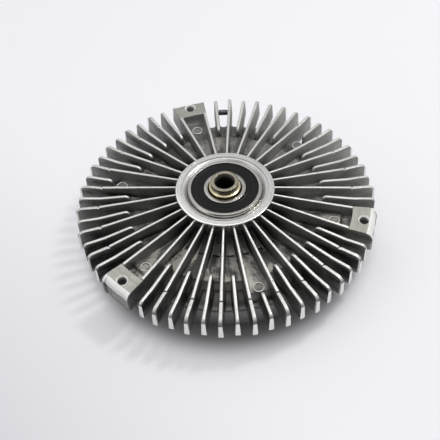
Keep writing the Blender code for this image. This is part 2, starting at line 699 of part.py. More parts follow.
def build_o_ring():
    """The rubber ring in the groove round the cover's edge."""
    radius = (O_RING_SECTION - SEAT_GAP) / 2
    middle_z = COVER_FIN_HEIGHT + COVER_THICKNESS / 2
    section = arc(COVER_RADIUS - radius, middle_z, radius, 0, 360, 2 * CORNER_STEPS)[:-1]
    turned("cover_o_ring", section, CHAMBER_FACETS, "seal_rubber")


def build_separator_plate():
    """Steel plate between reservoir and working chamber, with its port and its return hole."""
    outline = [
        (SEAL_BORE_RADIUS, PLATE_Z),
        (CHAMBER_RADIUS - SEAT_GAP, PLATE_Z),
        (CHAMBER_RADIUS - SEAT_GAP, PLATE_TOP_Z),
        (SEAL_BORE_RADIUS, PLATE_TOP_Z),
    ]
    plate = turned("separator_plate", outline, CHAMBER_FACETS)
    cut = bmesh.new()
    low, high = PLATE_Z - CUT_PAST, PLATE_TOP_Z + CUT_PAST
    add_rod(cut, VALVE_X, PORT_Y, PORT_RADIUS, low, high)
    add_rod(cut, VALVE_X, LEVER_PIVOT_Y, RIVET_RADIUS + SEAT_GAP, low, high, TINY_FACETS)
    add_rod(cut, *round_place(PUMP_CIRCLE, RETURN_ANGLE), RETURN_HOLE_RADIUS, low, high, TINY_FACETS)
    boolean(plate, new_object("plate_holes", cut), "DIFFERENCE")
    finish(plate, "sheet_steel")


def build_pump_block():
    """The small block beside the return hole that dams the fluid at the rotor's edge."""
    chamber_flat = CHAMBER_RADIUS * math.cos(math.pi / CHAMBER_FACETS)
    inner = ROTOR_RADIUS + LAND_END_GAP
    outer = chamber_flat - SEAT_GAP
    low = PLATE_TOP_Z + SEAT_GAP
    high = RIM_CEILING_Z - SEAT_GAP
    outline = [(inner, low), (outer, low), (outer, high), (inner, high)]
    start = RETURN_ANGLE + (RETURN_HOLE_RADIUS + SEAT_GAP) / PUMP_CIRCLE
    bm = bmesh.new()
    add_sector(bm, outline, start, start + PUMP_BLOCK_SPAN, PUMP_BLOCK_STEPS)
    new_object("pump_block", bm, "sheet_steel")


def build_rotor(parent):
    """Rotor disc: hub, web with fluid holes, shear rings and thin rim."""
    bore = ROTOR_SEAT_RADIUS + SEAT_GAP
    hub_top = COLLAR_Z - SEAT_GAP
    outline = [(bore, ROTOR_Z), (ROTOR_RADIUS, ROTOR_Z), (ROTOR_RADIUS, ROTOR_RIM_Z)]
    outline += [(OUTER_LAND_EDGE, ROTOR_RIM_Z), (OUTER_LAND_EDGE, ROTOR_LAND_Z)]
    for i, centre in enumerate(rotor_land_centres()):
        half = LAND_THICKNESS / 2
        if i:
            outline += [(centre + half, ROTOR_WEB_Z), (centre + half, ROTOR_LAND_Z)]
        outline += [(centre - half, ROTOR_LAND_Z), (centre - half, ROTOR_WEB_Z)]
    outline += [(ROTOR_HUB_RADIUS, ROTOR_WEB_Z), (ROTOR_HUB_RADIUS, hub_top), (bore, hub_top)]
    rotor = turned("rotor_disc", outline, CHAMBER_FACETS)
    cut = bmesh.new()
    for i in range(ROTOR_HOLE_COUNT):
        angle = (i + 0.5) * 2 * math.pi / ROTOR_HOLE_COUNT
        x, y = round_place(ROTOR_HOLE_CIRCLE, angle)
        add_rod(cut, x, y, ROTOR_HOLE_RADIUS, ROTOR_Z - CUT_PAST, ROTOR_WEB_Z + CUT_PAST, TINY_FACETS)
    boolean(rotor, new_object("rotor_holes", cut), "DIFFERENCE")
    finish(rotor, "turned_aluminium", parent)


def build_shaft(parent):
    """Hollow shaft: bolt seat, front sleeve, rotor seat, collar, bearing seat, bead and neck."""
    groove_z = ROTOR_Z - CLIP_THICKNESS - 2 * SEAT_GAP
    bead_z = BEARING_TOP_Z + SEAT_GAP
    bead_top = bead_z + SHAFT_BEAD_HEIGHT
    edge = SHAFT_CHAMFER
    outline = [
        (BOLT_HEAD_RADIUS, SHAFT_FRONT_Z),
        (FRONT_SLEEVE_RADIUS, SHAFT_FRONT_Z),
        (FRONT_SLEEVE_RADIUS, groove_z),
        (FRONT_SLEEVE_RADIUS - CLIP_GROOVE_DEPTH, groove_z),
        (FRONT_SLEEVE_RADIUS - CLIP_GROOVE_DEPTH, ROTOR_Z),
        (ROTOR_SEAT_RADIUS, ROTOR_Z),
        (ROTOR_SEAT_RADIUS, COLLAR_Z),
        (SHAFT_COLLAR_RADIUS, COLLAR_Z),
        (SHAFT_COLLAR_RADIUS, BEARING_Z - SEAT_GAP),
        (SHAFT_RADIUS, BEARING_Z - SEAT_GAP),
        (SHAFT_RADIUS, bead_z),
        (SHAFT_BEAD_RADIUS, bead_z),
        (SHAFT_BEAD_RADIUS, bead_top),
        (SHAFT_NECK_RADIUS, bead_top + SHAFT_BEAD_HEIGHT),
        (SHAFT_NECK_RADIUS, SHAFT_TOP_Z - edge),
        (SHAFT_NECK_RADIUS - edge, SHAFT_TOP_Z),
        (BOLT_BORE_RADIUS + edge, SHAFT_TOP_Z),
        (BOLT_BORE_RADIUS, SHAFT_TOP_Z - edge),
        (BOLT_BORE_RADIUS, SHAFT_FRONT_Z + BOLT_HEAD_DEPTH),
        (BOLT_HEAD_RADIUS, SHAFT_FRONT_Z + BOLT_HEAD_DEPTH),
    ]
    turned("drive_shaft", outline, SHAFT_FACETS, "plated_steel", parent)


def build_rotor_clip(parent):
    """The open snap ring that keeps the rotor on its seat."""
    inner = FRONT_SLEEVE_RADIUS - CLIP_GROOVE_DEPTH + SEAT_GAP
    high = ROTOR_Z - SEAT_GAP
    low = high - CLIP_THICKNESS
    outline = [(inner, low), (inner + CLIP_WIDTH, low), (inner + CLIP_WIDTH, high), (inner, high)]
    bm = bmesh.new()
    half = CLIP_OPENING / 2
    add_sector(bm, outline, half, 2 * math.pi - half, CLIP_STEPS)
    new_object("rotor_clip", bm, "dark_steel", parent)


def race_arc(face_radius, side):
    """The ball groove in a ring's face, as (r, z) points from low to high."""
    offset = abs(face_radius - BALL_CIRCLE)
    reach = math.degrees(math.acos(offset / RACE_RADIUS))
    if side > 0:
        return arc(BALL_CIRCLE, BALL_Z, RACE_RADIUS, -reach, reach, RACE_STEPS)
    return arc(BALL_CIRCLE, BALL_Z, RACE_RADIUS, 180 + reach, 180 - reach, RACE_STEPS)


def build_bearing(shaft_axis, cage_axis):
    """Deep-groove ball bearing: two rings, balls in a crown cage, and a seal on each side."""
    build_inner_ring(shaft_axis)
    build_outer_ring()
    build_seal("bearing_seal_rear", BEARING_TOP_Z - SEAL_INSET, -1)
    build_seal("bearing_seal_front", BEARING_Z + SEAL_INSET, 1)
    for i in range(BALL_COUNT):
        x, y = round_place(BALL_CIRCLE, i * 2 * math.pi / BALL_COUNT)
        bm = bmesh.new()
        bmesh.ops.create_icosphere(bm, subdivisions=2, radius=BALL_RADIUS)
        bmesh.ops.translate(bm, verts=bm.verts, vec=(x, y, BALL_Z))
        new_object(f"bearing_ball_{i + 1}", bm, "bearing_steel", cage_axis)
    build_cage(cage_axis)


def build_inner_ring(parent):
    """The ring on the shaft, chamfered at its bore."""
    c = RACE_CHAMFER
    bore = SHAFT_RADIUS + SEAT_GAP
    outline = [(bore + c, BEARING_Z), (INNER_RACE_RADIUS, BEARING_Z)]
    outline += race_arc(INNER_RACE_RADIUS, -1)
    outline += [(INNER_RACE_RADIUS, BEARING_TOP_Z), (bore + c, BEARING_TOP_Z)]
    outline += [(bore, BEARING_TOP_Z - c), (bore, BEARING_Z + c)]
    turned("bearing_inner_ring", outline, SHAFT_FACETS, "bearing_steel", parent)


def build_outer_ring():
    """The ring in the boss, chamfered round its outside."""
    c = RACE_CHAMFER
    outline = [(OUTER_RACE_RADIUS, BEARING_Z), (BEARING_RADIUS - c, BEARING_Z)]
    outline += [(BEARING_RADIUS, BEARING_Z + c), (BEARING_RADIUS, BEARING_TOP_Z - c)]
    outline += [(BEARING_RADIUS - c, BEARING_TOP_Z), (OUTER_RACE_RADIUS, BEARING_TOP_Z)]
    outline += race_arc(OUTER_RACE_RADIUS, 1)[::-1]
    turned("bearing_outer_ring", outline, SHAFT_FACETS, "bearing_steel")


def build_seal(name, face_z, direction):
    """A ring seal between the bearing's rings, its middle stepped in a little from its two beads."""
    inner = INNER_RACE_RADIUS + SEAT_GAP
    outer = OUTER_RACE_RADIUS - SEAT_GAP
    back_z = face_z + direction * SEAL_THICKNESS
    step_z = face_z + direction * SEAL_STEP
    outline = [
        (inner, face_z),
        (inner + SEAL_BEAD, step_z),
        (outer - SEAL_BEAD, step_z),
        (outer, face_z),
        (outer, back_z),
        (inner, back_z),
    ]
    turned(name, outline, SHAFT_FACETS, "seal_rubber")


def build_cage(parent):
    """Crown cage: a ring under the balls with fingers that stand between them."""
    low = BALL_Z - RACE_RADIUS - CAGE_FLOOR
    high = BALL_Z + CAGE_FINGER
    inner, outer = BALL_CIRCLE - CAGE_WALL / 2, BALL_CIRCLE + CAGE_WALL / 2
    outline = [(inner, low), (outer, low), (outer, high), (inner, high)]
    cage = turned("bearing_cage", outline, SHAFT_FACETS)
    pockets = bmesh.new()
    upright_to_radial = Matrix.Rotation(math.pi / 2, 3, "Y")
    for i in range(BALL_COUNT):
        angle = i * 2 * math.pi / BALL_COUNT
        made = bmesh.ops.create_cone(
            pockets, cap_ends=True, segments=SMALL_FACETS, radius1=RACE_RADIUS, radius2=RACE_RADIUS,
            depth=CAGE_WALL + 2 * CUT_PAST,
        )["verts"]
        bmesh.ops.rotate(pockets, verts=made, matrix=upright_to_radial)
        bmesh.ops.translate(pockets, verts=made, vec=(BALL_CIRCLE, 0.0, BALL_Z))
        bmesh.ops.rotate(pockets, verts=made, matrix=Matrix.Rotation(angle, 3, "Z"))
    boolean(cage, new_object("cage_pockets", pockets), "DIFFERENCE")
    finish(cage, "sheet_steel", parent)


def build_shaft_seal():
    """Lip seal between the cover's sleeve and the shaft."""
    inner = FRONT_SLEEVE_RADIUS + SEAT_GAP
    outer = SEAL_BORE_RADIUS - SEAT_GAP
    low = HUB_RING_Z + SEAL_SHOULDER_HEIGHT + SEAT_GAP
    high = low + SHAFT_SEAL_HEIGHT
    lip = SHAFT_SEAL_LIP
    outline = [
        (inner + lip, low),
        (outer, low),
        (outer, high),
        (outer - lip, high),
        (outer - lip, low + lip),
        (inner + 2 * lip, low + lip),
        (inner + lip, high - lip),
        (inner, high - lip),
    ]
    turned("front_shaft_seal", outline, SHAFT_FACETS, "seal_rubber")


def rivet_places():
    """X places of the two rivets that hold the strip."""
    return (VALVE_X - RIVET_SPACING / 2, VALVE_X + RIVET_SPACING / 2)


def build_strip():
    """Bimetal strip under the dome, held at its tail by two rivets."""
    low, high = STRIP_TOP_Z - STRIP_THICKNESS, STRIP_TOP_Z
    pivot = joint_empty("strip_pivot", VALVE_X, STRIP_PIVOT_Y, (low + high) / 2)
    half = STRIP_WIDTH / 2
    bm = bmesh.new()
    add_box(bm, (VALVE_X - half, STRIP_PIVOT_Y - STRIP_TAIL, low), (VALVE_X + half, STRIP_NOSE, high))
    strip = new_object("bimetal_strip", bm)
    cut = bmesh.new()
    hole = RIVET_RADIUS + SEAT_GAP
    for x in rivet_places():
        add_rod(cut, x, STRIP_PIVOT_Y, hole, low - CUT_PAST, high + CUT_PAST, TINY_FACETS)
    boolean(strip, new_object("strip_holes", cut), "DIFFERENCE")
    finish(strip, "bimetal", pivot)
    for i, x in enumerate(rivet_places()):
        build_strip_rivet(f"strip_rivet_{i + 1}", x, low - SEAT_GAP)


def build_strip_rivet(name, x, head_top):
    """A rivet whose head stands under the strip and whose shank ends in the cover."""
    head_low = head_top - RIVET_HEAD_HEIGHT
    outline = [
        (0, head_low),
        (RIVET_HEAD_RADIUS - RIVET_HEAD_EDGE, head_low),
        (RIVET_HEAD_RADIUS, head_low + RIVET_HEAD_EDGE),
        (RIVET_HEAD_RADIUS, head_top),
        (RIVET_RADIUS, head_top),
        (RIVET_RADIUS, DOME_Z + RIVET_ANCHOR - SEAT_GAP),
        (0, DOME_Z + RIVET_ANCHOR - SEAT_GAP),
    ]
    turned(name, outline, TINY_FACETS, "sheet_steel", centre=(x, STRIP_PIVOT_Y))


def build_control_pin():
    """The pin that hands the strip's movement on to the lever."""
    low = STRIP_TOP_Z + SEAT_GAP
    high = LEVER_LOW_Z - SEAT_GAP
    pin_axis = joint_empty("pin_axis", VALVE_X, 0.0, low)
    outline = [(0, low), (PIN_RADIUS - PIN_NOSE, low), (PIN_RADIUS, low + PIN_NOSE)]
    outline += [(PIN_RADIUS, high), (0, high)]
    turned("control_pin", outline, SMALL_FACETS, "bearing_steel", pin_axis, centre=(VALVE_X, 0.0))


def build_pin_bush():
    """The flanged bush that guides the pin through the cover."""
    inner = PIN_RADIUS + SEAT_GAP
    outer = inner + BUSH_WALL
    collar_low = RESERVOIR_Z + SEAT_GAP
    outline = [
        (inner, DOME_Z),
        (outer, DOME_Z),
        (outer, collar_low),
        (outer + BUSH_COLLAR, collar_low),
        (outer + BUSH_COLLAR, collar_low + BUSH_COLLAR_HEIGHT),
        (inner, collar_low + BUSH_COLLAR_HEIGHT),
    ]
    turned("pin_bush", outline, SMALL_FACETS, "plated_steel", centre=(VALVE_X, 0.0))


def build_valve_lever():
    """Spring lever that covers the port. It tilts on its rivet."""
    middle_z = (LEVER_LOW_Z + LEVER_TOP_Z) / 2
    pivot = joint_empty("lever_pivot", VALVE_X, LEVER_PIVOT_Y, middle_z)
    half = LEVER_WIDTH / 2
    tail_y, nose_y = LEVER_PIVOT_Y - LEVER_TAIL, PORT_Y + LEVER_NOSE
    outline = arc(VALVE_X, nose_y - half, half, 0, 180, 2 * CORNER_STEPS)
    outline += [(VALVE_X - half, tail_y), (VALVE_X + half, tail_y)]
    bm = bmesh.new()
    face = bm.faces.new([bm.verts.new((x, y, LEVER_LOW_Z)) for x, y in outline])
    made = bmesh.ops.extrude_face_region(bm, geom=[face])["geom"]
    lifted = [g for g in made if isinstance(g, bmesh.types.BMVert)]
    bmesh.ops.translate(bm, verts=lifted, vec=(0, 0, LEVER_THICKNESS))
    lever = new_object("valve_lever", bm)
    cut = bmesh.new()
    hole = RIVET_RADIUS + SEAT_GAP
    low, high = LEVER_LOW_Z - CUT_PAST, LEVER_TOP_Z + CUT_PAST
    add_rod(cut, VALVE_X, LEVER_PIVOT_Y, hole, low, high, TINY_FACETS)
    boolean(lever, new_object("lever_hole", cut), "DIFFERENCE")
    finish(lever, "sheet_steel", pivot)


def build_lever_rivet():
    """The rivet in the separator plate that holds the lever's tail."""
    head_top = LEVER_LOW_Z - SEAT_GAP
    outline = [
        (0, head_top - RIVET_HEAD_HEIGHT),
        (RIVET_HEAD_RADIUS, head_top - RIVET_HEAD_HEIGHT),
        (RIVET_HEAD_RADIUS, head_top),
        (RIVET_RADIUS, head_top),
        (RIVET_RADIUS, PLATE_TOP_Z),
        (0, PLATE_TOP_Z),
    ]
    turned("lever_rivet", outline, TINY_FACETS, "sheet_steel", centre=(VALVE_X, LEVER_PIVOT_Y))


def build_balance_pin():
    """Roll pin held between a long and a short fin, lying across the gap."""
    radius = TIP_RADIUS - BALANCE_PIN_INSET
    height = FAN_FACE_Z - BALANCE_PIN_DROP
    gap_angle = FIN_PITCH / 2
    free = 2 * radius * math.tan(gap_angle / 2) - 2 * fin_half_width(height - BALANCE_PIN_RADIUS)
    half_length = free / 2 - SEAT_GAP - BALANCE_PIN_RADIUS * math.tan(gap_angle / 2)
    inner = BALANCE_PIN_RADIUS - BALANCE_PIN_WALL
    slit = math.degrees(BALANCE_PIN_SLIT) / 2
    loop = arc(0, 0, BALANCE_PIN_RADIUS, slit, 360 - slit, SMALL_FACETS)
    loop += arc(0, 0, inner, 360 - slit, slit, SMALL_FACETS)
    bm = bmesh.new()
    near = [bm.verts.new((radius + x, -half_length, height + z)) for x, z in loop]
    far = [bm.verts.new((radius + x, half_length, height + z)) for x, z in loop]
    count = len(loop)
    bm.faces.new(near)
    bm.faces.new(far)
    for i in range(count):
        j = (i + 1) % count
        bm.faces.new((near[i], near[j], far[j], far[i]))
    bmesh.ops.rotate(bm, verts=bm.verts, matrix=Matrix.Rotation(BALANCE_PIN_ANGLE, 3, "Z"))
    new_object("balance_pin", bm, "dark_steel")


def main():
    """Clears the scene and builds every piece."""
    for obj in list(bpy.data.objects):
        bpy.data.objects.remove(obj)
    shaft_axis = joint_empty("shaft_axis")
    cage_axis = joint_empty("cage_axis")
    build_housing()
    build_cover()
    build_o_ring()
    build_separator_plate()
    build_pump_block()
    build_rotor(shaft_axis)
    build_shaft(shaft_axis)
    build_rotor_clip(shaft_axis)
    build_bearing(shaft_axis, cage_axis)
    build_shaft_seal()
    build_strip()
    build_control_pin()
    build_pin_bush()
    build_valve_lever()
    build_lever_rivet()
    build_balance_pin()


main()
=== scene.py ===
"""Looks of the viscous fan clutch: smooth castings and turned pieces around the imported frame.

Lengths are in metres, in the frame of the CAD part: Z = 0 is the bench that the front cover's fins
stand on, +Z runs along the shaft towards the engine, +X through the middle of one fan lug.
"""

import math

import bmesh
import bpy
from mathutils import Matrix, Vector


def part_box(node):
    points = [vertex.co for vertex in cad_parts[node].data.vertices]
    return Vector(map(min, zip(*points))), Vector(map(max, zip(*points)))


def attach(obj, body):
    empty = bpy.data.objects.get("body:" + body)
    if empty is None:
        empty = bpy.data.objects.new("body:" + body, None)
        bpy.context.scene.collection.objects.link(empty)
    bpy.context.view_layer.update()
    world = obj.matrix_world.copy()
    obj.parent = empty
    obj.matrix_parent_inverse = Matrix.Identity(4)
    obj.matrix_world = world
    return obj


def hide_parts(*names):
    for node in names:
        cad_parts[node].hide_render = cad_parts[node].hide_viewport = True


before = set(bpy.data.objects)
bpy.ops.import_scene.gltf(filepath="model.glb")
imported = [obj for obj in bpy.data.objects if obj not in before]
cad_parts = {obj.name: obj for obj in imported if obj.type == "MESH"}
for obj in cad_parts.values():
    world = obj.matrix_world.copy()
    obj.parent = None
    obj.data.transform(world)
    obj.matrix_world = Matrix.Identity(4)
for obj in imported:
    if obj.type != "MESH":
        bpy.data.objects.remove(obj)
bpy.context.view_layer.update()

MM = 0.001
TURN = 2 * math.pi

# Radii and heights of the casting, as in the CAD part.
TIP = 85.0 * MM
SHORT_TIP = 84.0 * MM
LAND = 71.5 * MM
SCREW_CIRCLE = 78.4 * MM
DRUM = 70.25 * MM
PLATEAU = 55.4 * MM
SLOPE_END = 57.9 * MM
SKIRT = 37.5 * MM
BOSS = 27.7 * MM
SKIRT_TOP = 30.7 * MM
PLATEAU_Z = 26.2 * MM
DECK_Z = 20.0 * MM
FIN_FOOT = 18.2 * MM
FAN_FACE = 31.0 * MM

# Fins.
FIN_COUNT = 30
FIN_PITCH = TURN / FIN_COUNT
FIN_HALF = 0.875 * MM
FIN_DRAFT = math.tan(math.radians(2.7))
FIN_CORNER = 4.2 * MM
CREST_RISE = 5.7 * MM
LAND_STEP = 0.4 * MM
SHORT_START = 54.2 * MM
SHORT_DROP = 1.0 * MM
SHORT_CORNER = 2.8 * MM
CLIPPED_START = 67.2 * MM
RIPPLE = 0.16 * MM
RIPPLES_PER_METRE = 90.0

# Lugs and pads, whose blocks start inside the plateau and stop a hair below its surface.
LUG_HALF_ANGLE = 6.9
BLOCK_START = 53.6 * MM
BLOCK_FOOT = 18.8 * MM
BLOCK_Z = 26.12 * MM
PAD_CIRCLE = 62.0 * MM

# Bearing and shaft.
BEARING_LOW = 26.6 * MM
BEARING_TOP = 39.6 * MM
BALL_CIRCLE = 15.35 * MM
BALL_Z = (BEARING_LOW + BEARING_TOP) / 2
BALL_RADIUS = 3.75 * MM
BALL_COUNT = 8

# Front cover and the valve in it.
COVER_FLOOR = 9.0 * MM
COVER_FIN_COUNT = 24
VALVE_X = 25.0 * MM
STRIP_Y = -17.0 * MM
LEVER_RIVET_Y = -15.5 * MM
STRIP_RIVETS = (22.4 * MM, 27.6 * MM)

CASTING_ROUND = 210
ROUND = 192
SMALL_ROUND = 48


# Outlines and solids

def arc(centre, radius, start, end, steps):
    """Points of an arc, from one angle in degrees to another."""
    points = []
    for i in range(steps + 1):
        a = math.radians(start + (end - start) * i / steps)
        points.append((centre[0] + radius * math.cos(a), centre[1] + radius * math.sin(a)))
    return points


def rounded(points, steps=4):
    """A closed outline, with a corner rounded where its point gives a radius."""
    made = []
    count = len(points)
    for i, point in enumerate(points):
        here = Vector(point[:2])
        if len(point) < 3:
            made.append(tuple(here))
            continue
        back = Vector(points[i - 1][:2]) - here
        on = Vector(points[(i + 1) % count][:2]) - here
        half = back.angle(on) / 2
        reach = min(point[2] / math.tan(half), 0.48 * back.length, 0.48 * on.length)
        radius = reach * math.tan(half)
        centre = here + (back.normalized() + on.normalized()).normalized() * radius / math.sin(half)
        first = here + back.normalized() * reach - centre
        last = here + on.normalized() * reach - centre
        start = math.atan2(first.y, first.x)
        sweep = (math.atan2(last.y, last.x) - start + math.pi) % TURN - math.pi
        for k in range(steps + 1):
            a = start + sweep * k / steps
            made.append((centre.x + radius * math.cos(a), centre.y + radius * math.sin(a)))
    return made


def outline_mm(points, steps=4):
    """An outline given in millimetres, rounded where it says so."""
    return rounded([tuple(v * MM for v in p) for p in points], steps)


def rod_outline(radius, low, high):
    """Half the section of a plain rod, given in millimetres."""
    return [(0, low * MM), (radius * MM, low * MM), (radius * MM, high * MM), (0, high * MM)]


def add_turned(bm, outline, segments, centre=(0.0, 0.0)):
    """Turns a closed (r, z) outline once round a vertical axis."""
    rings = []
    for r, z in outline:
        if r < 1e-7:
            rings.append([bm.verts.new((*centre, z))] * segments)
            continue
        ring = []
        for k in range(segments):
            a = TURN * k / segments
            ring.append(bm.verts.new((centre[0] + r * math.cos(a), centre[1] + r * math.sin(a), z)))
        rings.append(ring)
    for near, far in zip(rings, rings[1:] + rings[:1]):
        for k in range(segments):
            n = (k + 1) % segments
            corners = list(dict.fromkeys((near[k], near[n], far[n], far[k])))
            if len(corners) > 2:
                bm.faces.new(corners)


def add_block(bm, size, centre):
    """A box round its centre."""
    made = bmesh.ops.create_cube(bm, size=1.0)["verts"]
    bmesh.ops.scale(bm, vec=size, verts=made)
    bmesh.ops.translate(bm, vec=centre, verts=made)


def skinned(name, rings):
    """A solid whose skin runs from ring to ring of points, with a flat face at either end."""
    bm = bmesh.new()
    made = [[bm.verts.new(point) for point in ring] for ring in rings]
    count = len(made[0])
    for near, far in zip(made, made[1:]):
        for i in range(count):
            j = (i + 1) % count
            bm.faces.new((near[i], near[j], far[j], far[i]))
    bm.faces.new(made[0])
    bm.faces.new(made[-1])
    return to_object(name, bm)


def to_object(name, bm):
    """The bmesh as an object at the origin, with its faces turned outwards."""
    bmesh.ops.recalc_face_normals(bm, faces=bm.faces)
    mesh = bpy.data.meshes.new(name)
    bm.to_mesh(mesh)
    bm.free()
    obj = bpy.data.objects.new(name, mesh)
    bpy.context.scene.collection.objects.link(obj)
    return obj


def turned(name, outline, segments=ROUND, centre=(0.0, 0.0)):
    """A solid of revolution."""
    bm = bmesh.new()
    add_turned(bm, outline, segments, centre)
    return to_object(name, bm)


def apply_modifiers(obj):
    """Turns the object with its modifiers into a plain mesh."""
    graph = bpy.context.evaluated_depsgraph_get()
    made = bpy.data.meshes.new_from_object(obj.evaluated_get(graph))
    obj.modifiers.clear()
    obj.data = made


def bevel(obj, width):
    """Rounds the sharp edges."""
    modifier = obj.modifiers.new("edges", "BEVEL")
    modifier.width = width
    modifier.segments = 2
    modifier.limit_method = "ANGLE"
    modifier.angle_limit = math.radians(35)
    modifier.harden_normals = False
    apply_modifiers(obj)


def boolean(target, tool, operation):
    """Joins the tool to the target or cuts it away, and removes the tool."""
    modifier = target.modifiers.new(operation, "BOOLEAN")
    modifier.operation = operation
    modifier.solver = "MANIFOLD"
    modifier.object = tool
    apply_modifiers(target)
    bpy.data.objects.remove(tool)


def crisp(obj):
    """Smooth shading with sharp corners kept."""
    obj.data.shade_smooth()
    obj.data.set_sharp_from_angle(angle=math.radians(32))


# Node trees

def plug(tree, socket, value):
    """Gives an input its value, or links it to the socket that feeds it."""
    if isinstance(value, bpy.types.NodeSocket):
        tree.links.new(value, socket)
    else:
        socket.default_value = value


def node(tree, kind, inputs=None, **settings):
    """A node with its settings and inputs."""
    made = tree.nodes.new(kind)
    for key, value in settings.items():
        setattr(made, key, value)
    for key, value in (inputs or {}).items():
        plug(tree, made.inputs[key], value)
    return made


class Wiring:
    """A node tree in the making. Its methods add nodes and return the socket with the result."""

    def __init__(self, tree):
        self.tree = tree

    def add(self, kind, inputs=None, **settings):
        """A shader node, its kind given without the common prefix."""
        return node(self.tree, "ShaderNode" + kind, inputs, **settings)

    def first(self, kind, inputs=None):
        """The first output of a node of any kind."""
        return node(self.tree, kind, inputs).outputs[0]

    def math(self, operation, *values, clamp=False):
        """A Math node's result."""
        return self.add("Math", dict(enumerate(values)), operation=operation, use_clamp=clamp).outputs[0]

    def times(self, first, *others):
        """The product of the values."""
        for value in others:
            first = self.math("MULTIPLY", first, value)
        return first

    def plus(self, first, second, clamp=False):
        """The sum of two values."""
        return self.math("ADD", first, second, clamp=clamp)

    def minus(self, first, second):
        """The first value less the second."""
        return self.math("SUBTRACT", first, second)

    def rest(self, share):
        """What a share leaves of 1."""
        return self.minus(1.0, share)

    def vector(self, operation, first, second=None):
        """A Vector Math node's result, which LENGTH and DOT_PRODUCT give as a number."""
        inputs = {0: first}
        if second is not None:
            inputs["Scale" if operation == "SCALE" else 1] = second
        made = self.add("VectorMath", inputs, operation=operation)
        return made.outputs["Value" if operation in ("LENGTH", "DOT_PRODUCT") else 0]

    def part(self, vector, axis):
        """One coordinate of a vector."""
        return self.add("SeparateXYZ", {0: vector}).outputs[axis]

    def rise(self, value, low, high, to_low=0.0, to_high=1.0, kind="SMOOTHSTEP"):
        """A value carried from one span to another with soft ends, and held beyond them."""
        inputs = {"Value": value, "From Min": low, "From Max": high, "To Min": to_low, "To Max": to_high}
        return self.add("MapRange", inputs, interpolation_type=kind).outputs["Result"]

    def fall(self, value, low, high):
        """A share that falls from 1 to 0 as a value rises."""
        return self.rise(value, low, high, 1.0, 0.0)

    def slope(self, value, low, high, to_low=0.0, to_high=1.0):
        """As rise, in a straight line."""
        return self.rise(value, low, high, to_low, to_high, "LINEAR")


RING_INPUTS = (
    ("Piece", "Object"), ("Copies", "Int"), ("First Angle", "Float"), ("Angle Between", "Float"),
    ("Left Out Every", "Int"), ("Ripple Height", "Float"), ("Ripples Per Metre", "Float"), ("Seed", "Float"),
    ("Finish", "Material"),
)


def ring_tree():
    """Copies a piece round the shaft, leaves some out, and makes the copies as uneven as cast metal."""
    tree = bpy.data.node_groups.new("ring_of_copies", "GeometryNodeTree")
    for label, kind in RING_INPUTS:
        tree.interface.new_socket(label, in_out="INPUT", socket_type="NodeSocket" + kind)
    tree.interface.new_socket("Geometry", in_out="OUTPUT", socket_type="NodeSocketGeometry")
    given = tree.nodes.new("NodeGroupInput").outputs
    wires = Wiring(tree)
    index = wires.first("GeometryNodeInputIndex")
    angle = wires.math("MULTIPLY_ADD", index, given["Angle Between"], given["First Angle"])
    turn = wires.first("FunctionNodeEulerToRotation", {0: wires.first("ShaderNodeCombineXYZ", {"Z": angle})})
    place_in_row = wires.math("FLOORED_MODULO", index, given["Left Out Every"])
    copies = wires.first("GeometryNodeInstanceOnPoints", {
        "Points": wires.first("GeometryNodePoints", {"Count": given["Copies"]}),
        "Selection": wires.math("GREATER_THAN", place_in_row, 0.5),
        "Instance": node(tree, "GeometryNodeObjectInfo", {"Object": given["Piece"]}).outputs["Geometry"],
        "Rotation": turn,
    })
    ripples = {"W": given["Seed"], "Scale": given["Ripples Per Metre"], "Detail": 2.0}
    noise = wires.add("TexNoise", ripples, noise_dimensions="4D").outputs["Color"]
    shift = wires.vector("SCALE", wires.vector("SUBTRACT", noise, (0.5, 0.5, 0.5)), given["Ripple Height"])
    moved = wires.first("GeometryNodeSetPosition", {
        "Geometry": wires.first("GeometryNodeRealizeInstances", {0: copies}), "Offset": shift})
    dressed = wires.first("GeometryNodeSetMaterial", {"Geometry": moved, "Material": given["Finish"]})
    node(tree, "NodeGroupOutput", {0: dressed})
    return tree


RING = ring_tree()
NONE_LEFT_OUT = 1000


def ring_of_copies(name, piece, copies, first, between, finish, leave_every=0, ripple=0.0):
    """The copies of a piece as one plain mesh. The piece itself is removed."""
    carrier = bpy.data.objects.new(name, bpy.data.meshes.new(name))
    bpy.context.scene.collection.objects.link(carrier)
    modifier = carrier.modifiers.new("ring", "NODES")
    modifier.node_group = RING
    values = {
        "Piece": piece, "Copies": copies if leave_every else copies + 1,
        "First Angle": first if leave_every else first - between,
        "Angle Between": between, "Left Out Every": leave_every or NONE_LEFT_OUT,
        "Ripple Height": ripple, "Ripples Per Metre": RIPPLES_PER_METRE, "Seed": 3.0, "Finish": finish,
    }
    for item in RING.interface.items_tree:
        if item.in_out == "INPUT":
            modifier[item.identifier] = values[item.name]
    apply_modifiers(carrier)
    bpy.data.objects.remove(piece)
    return carrier


# Shader trees

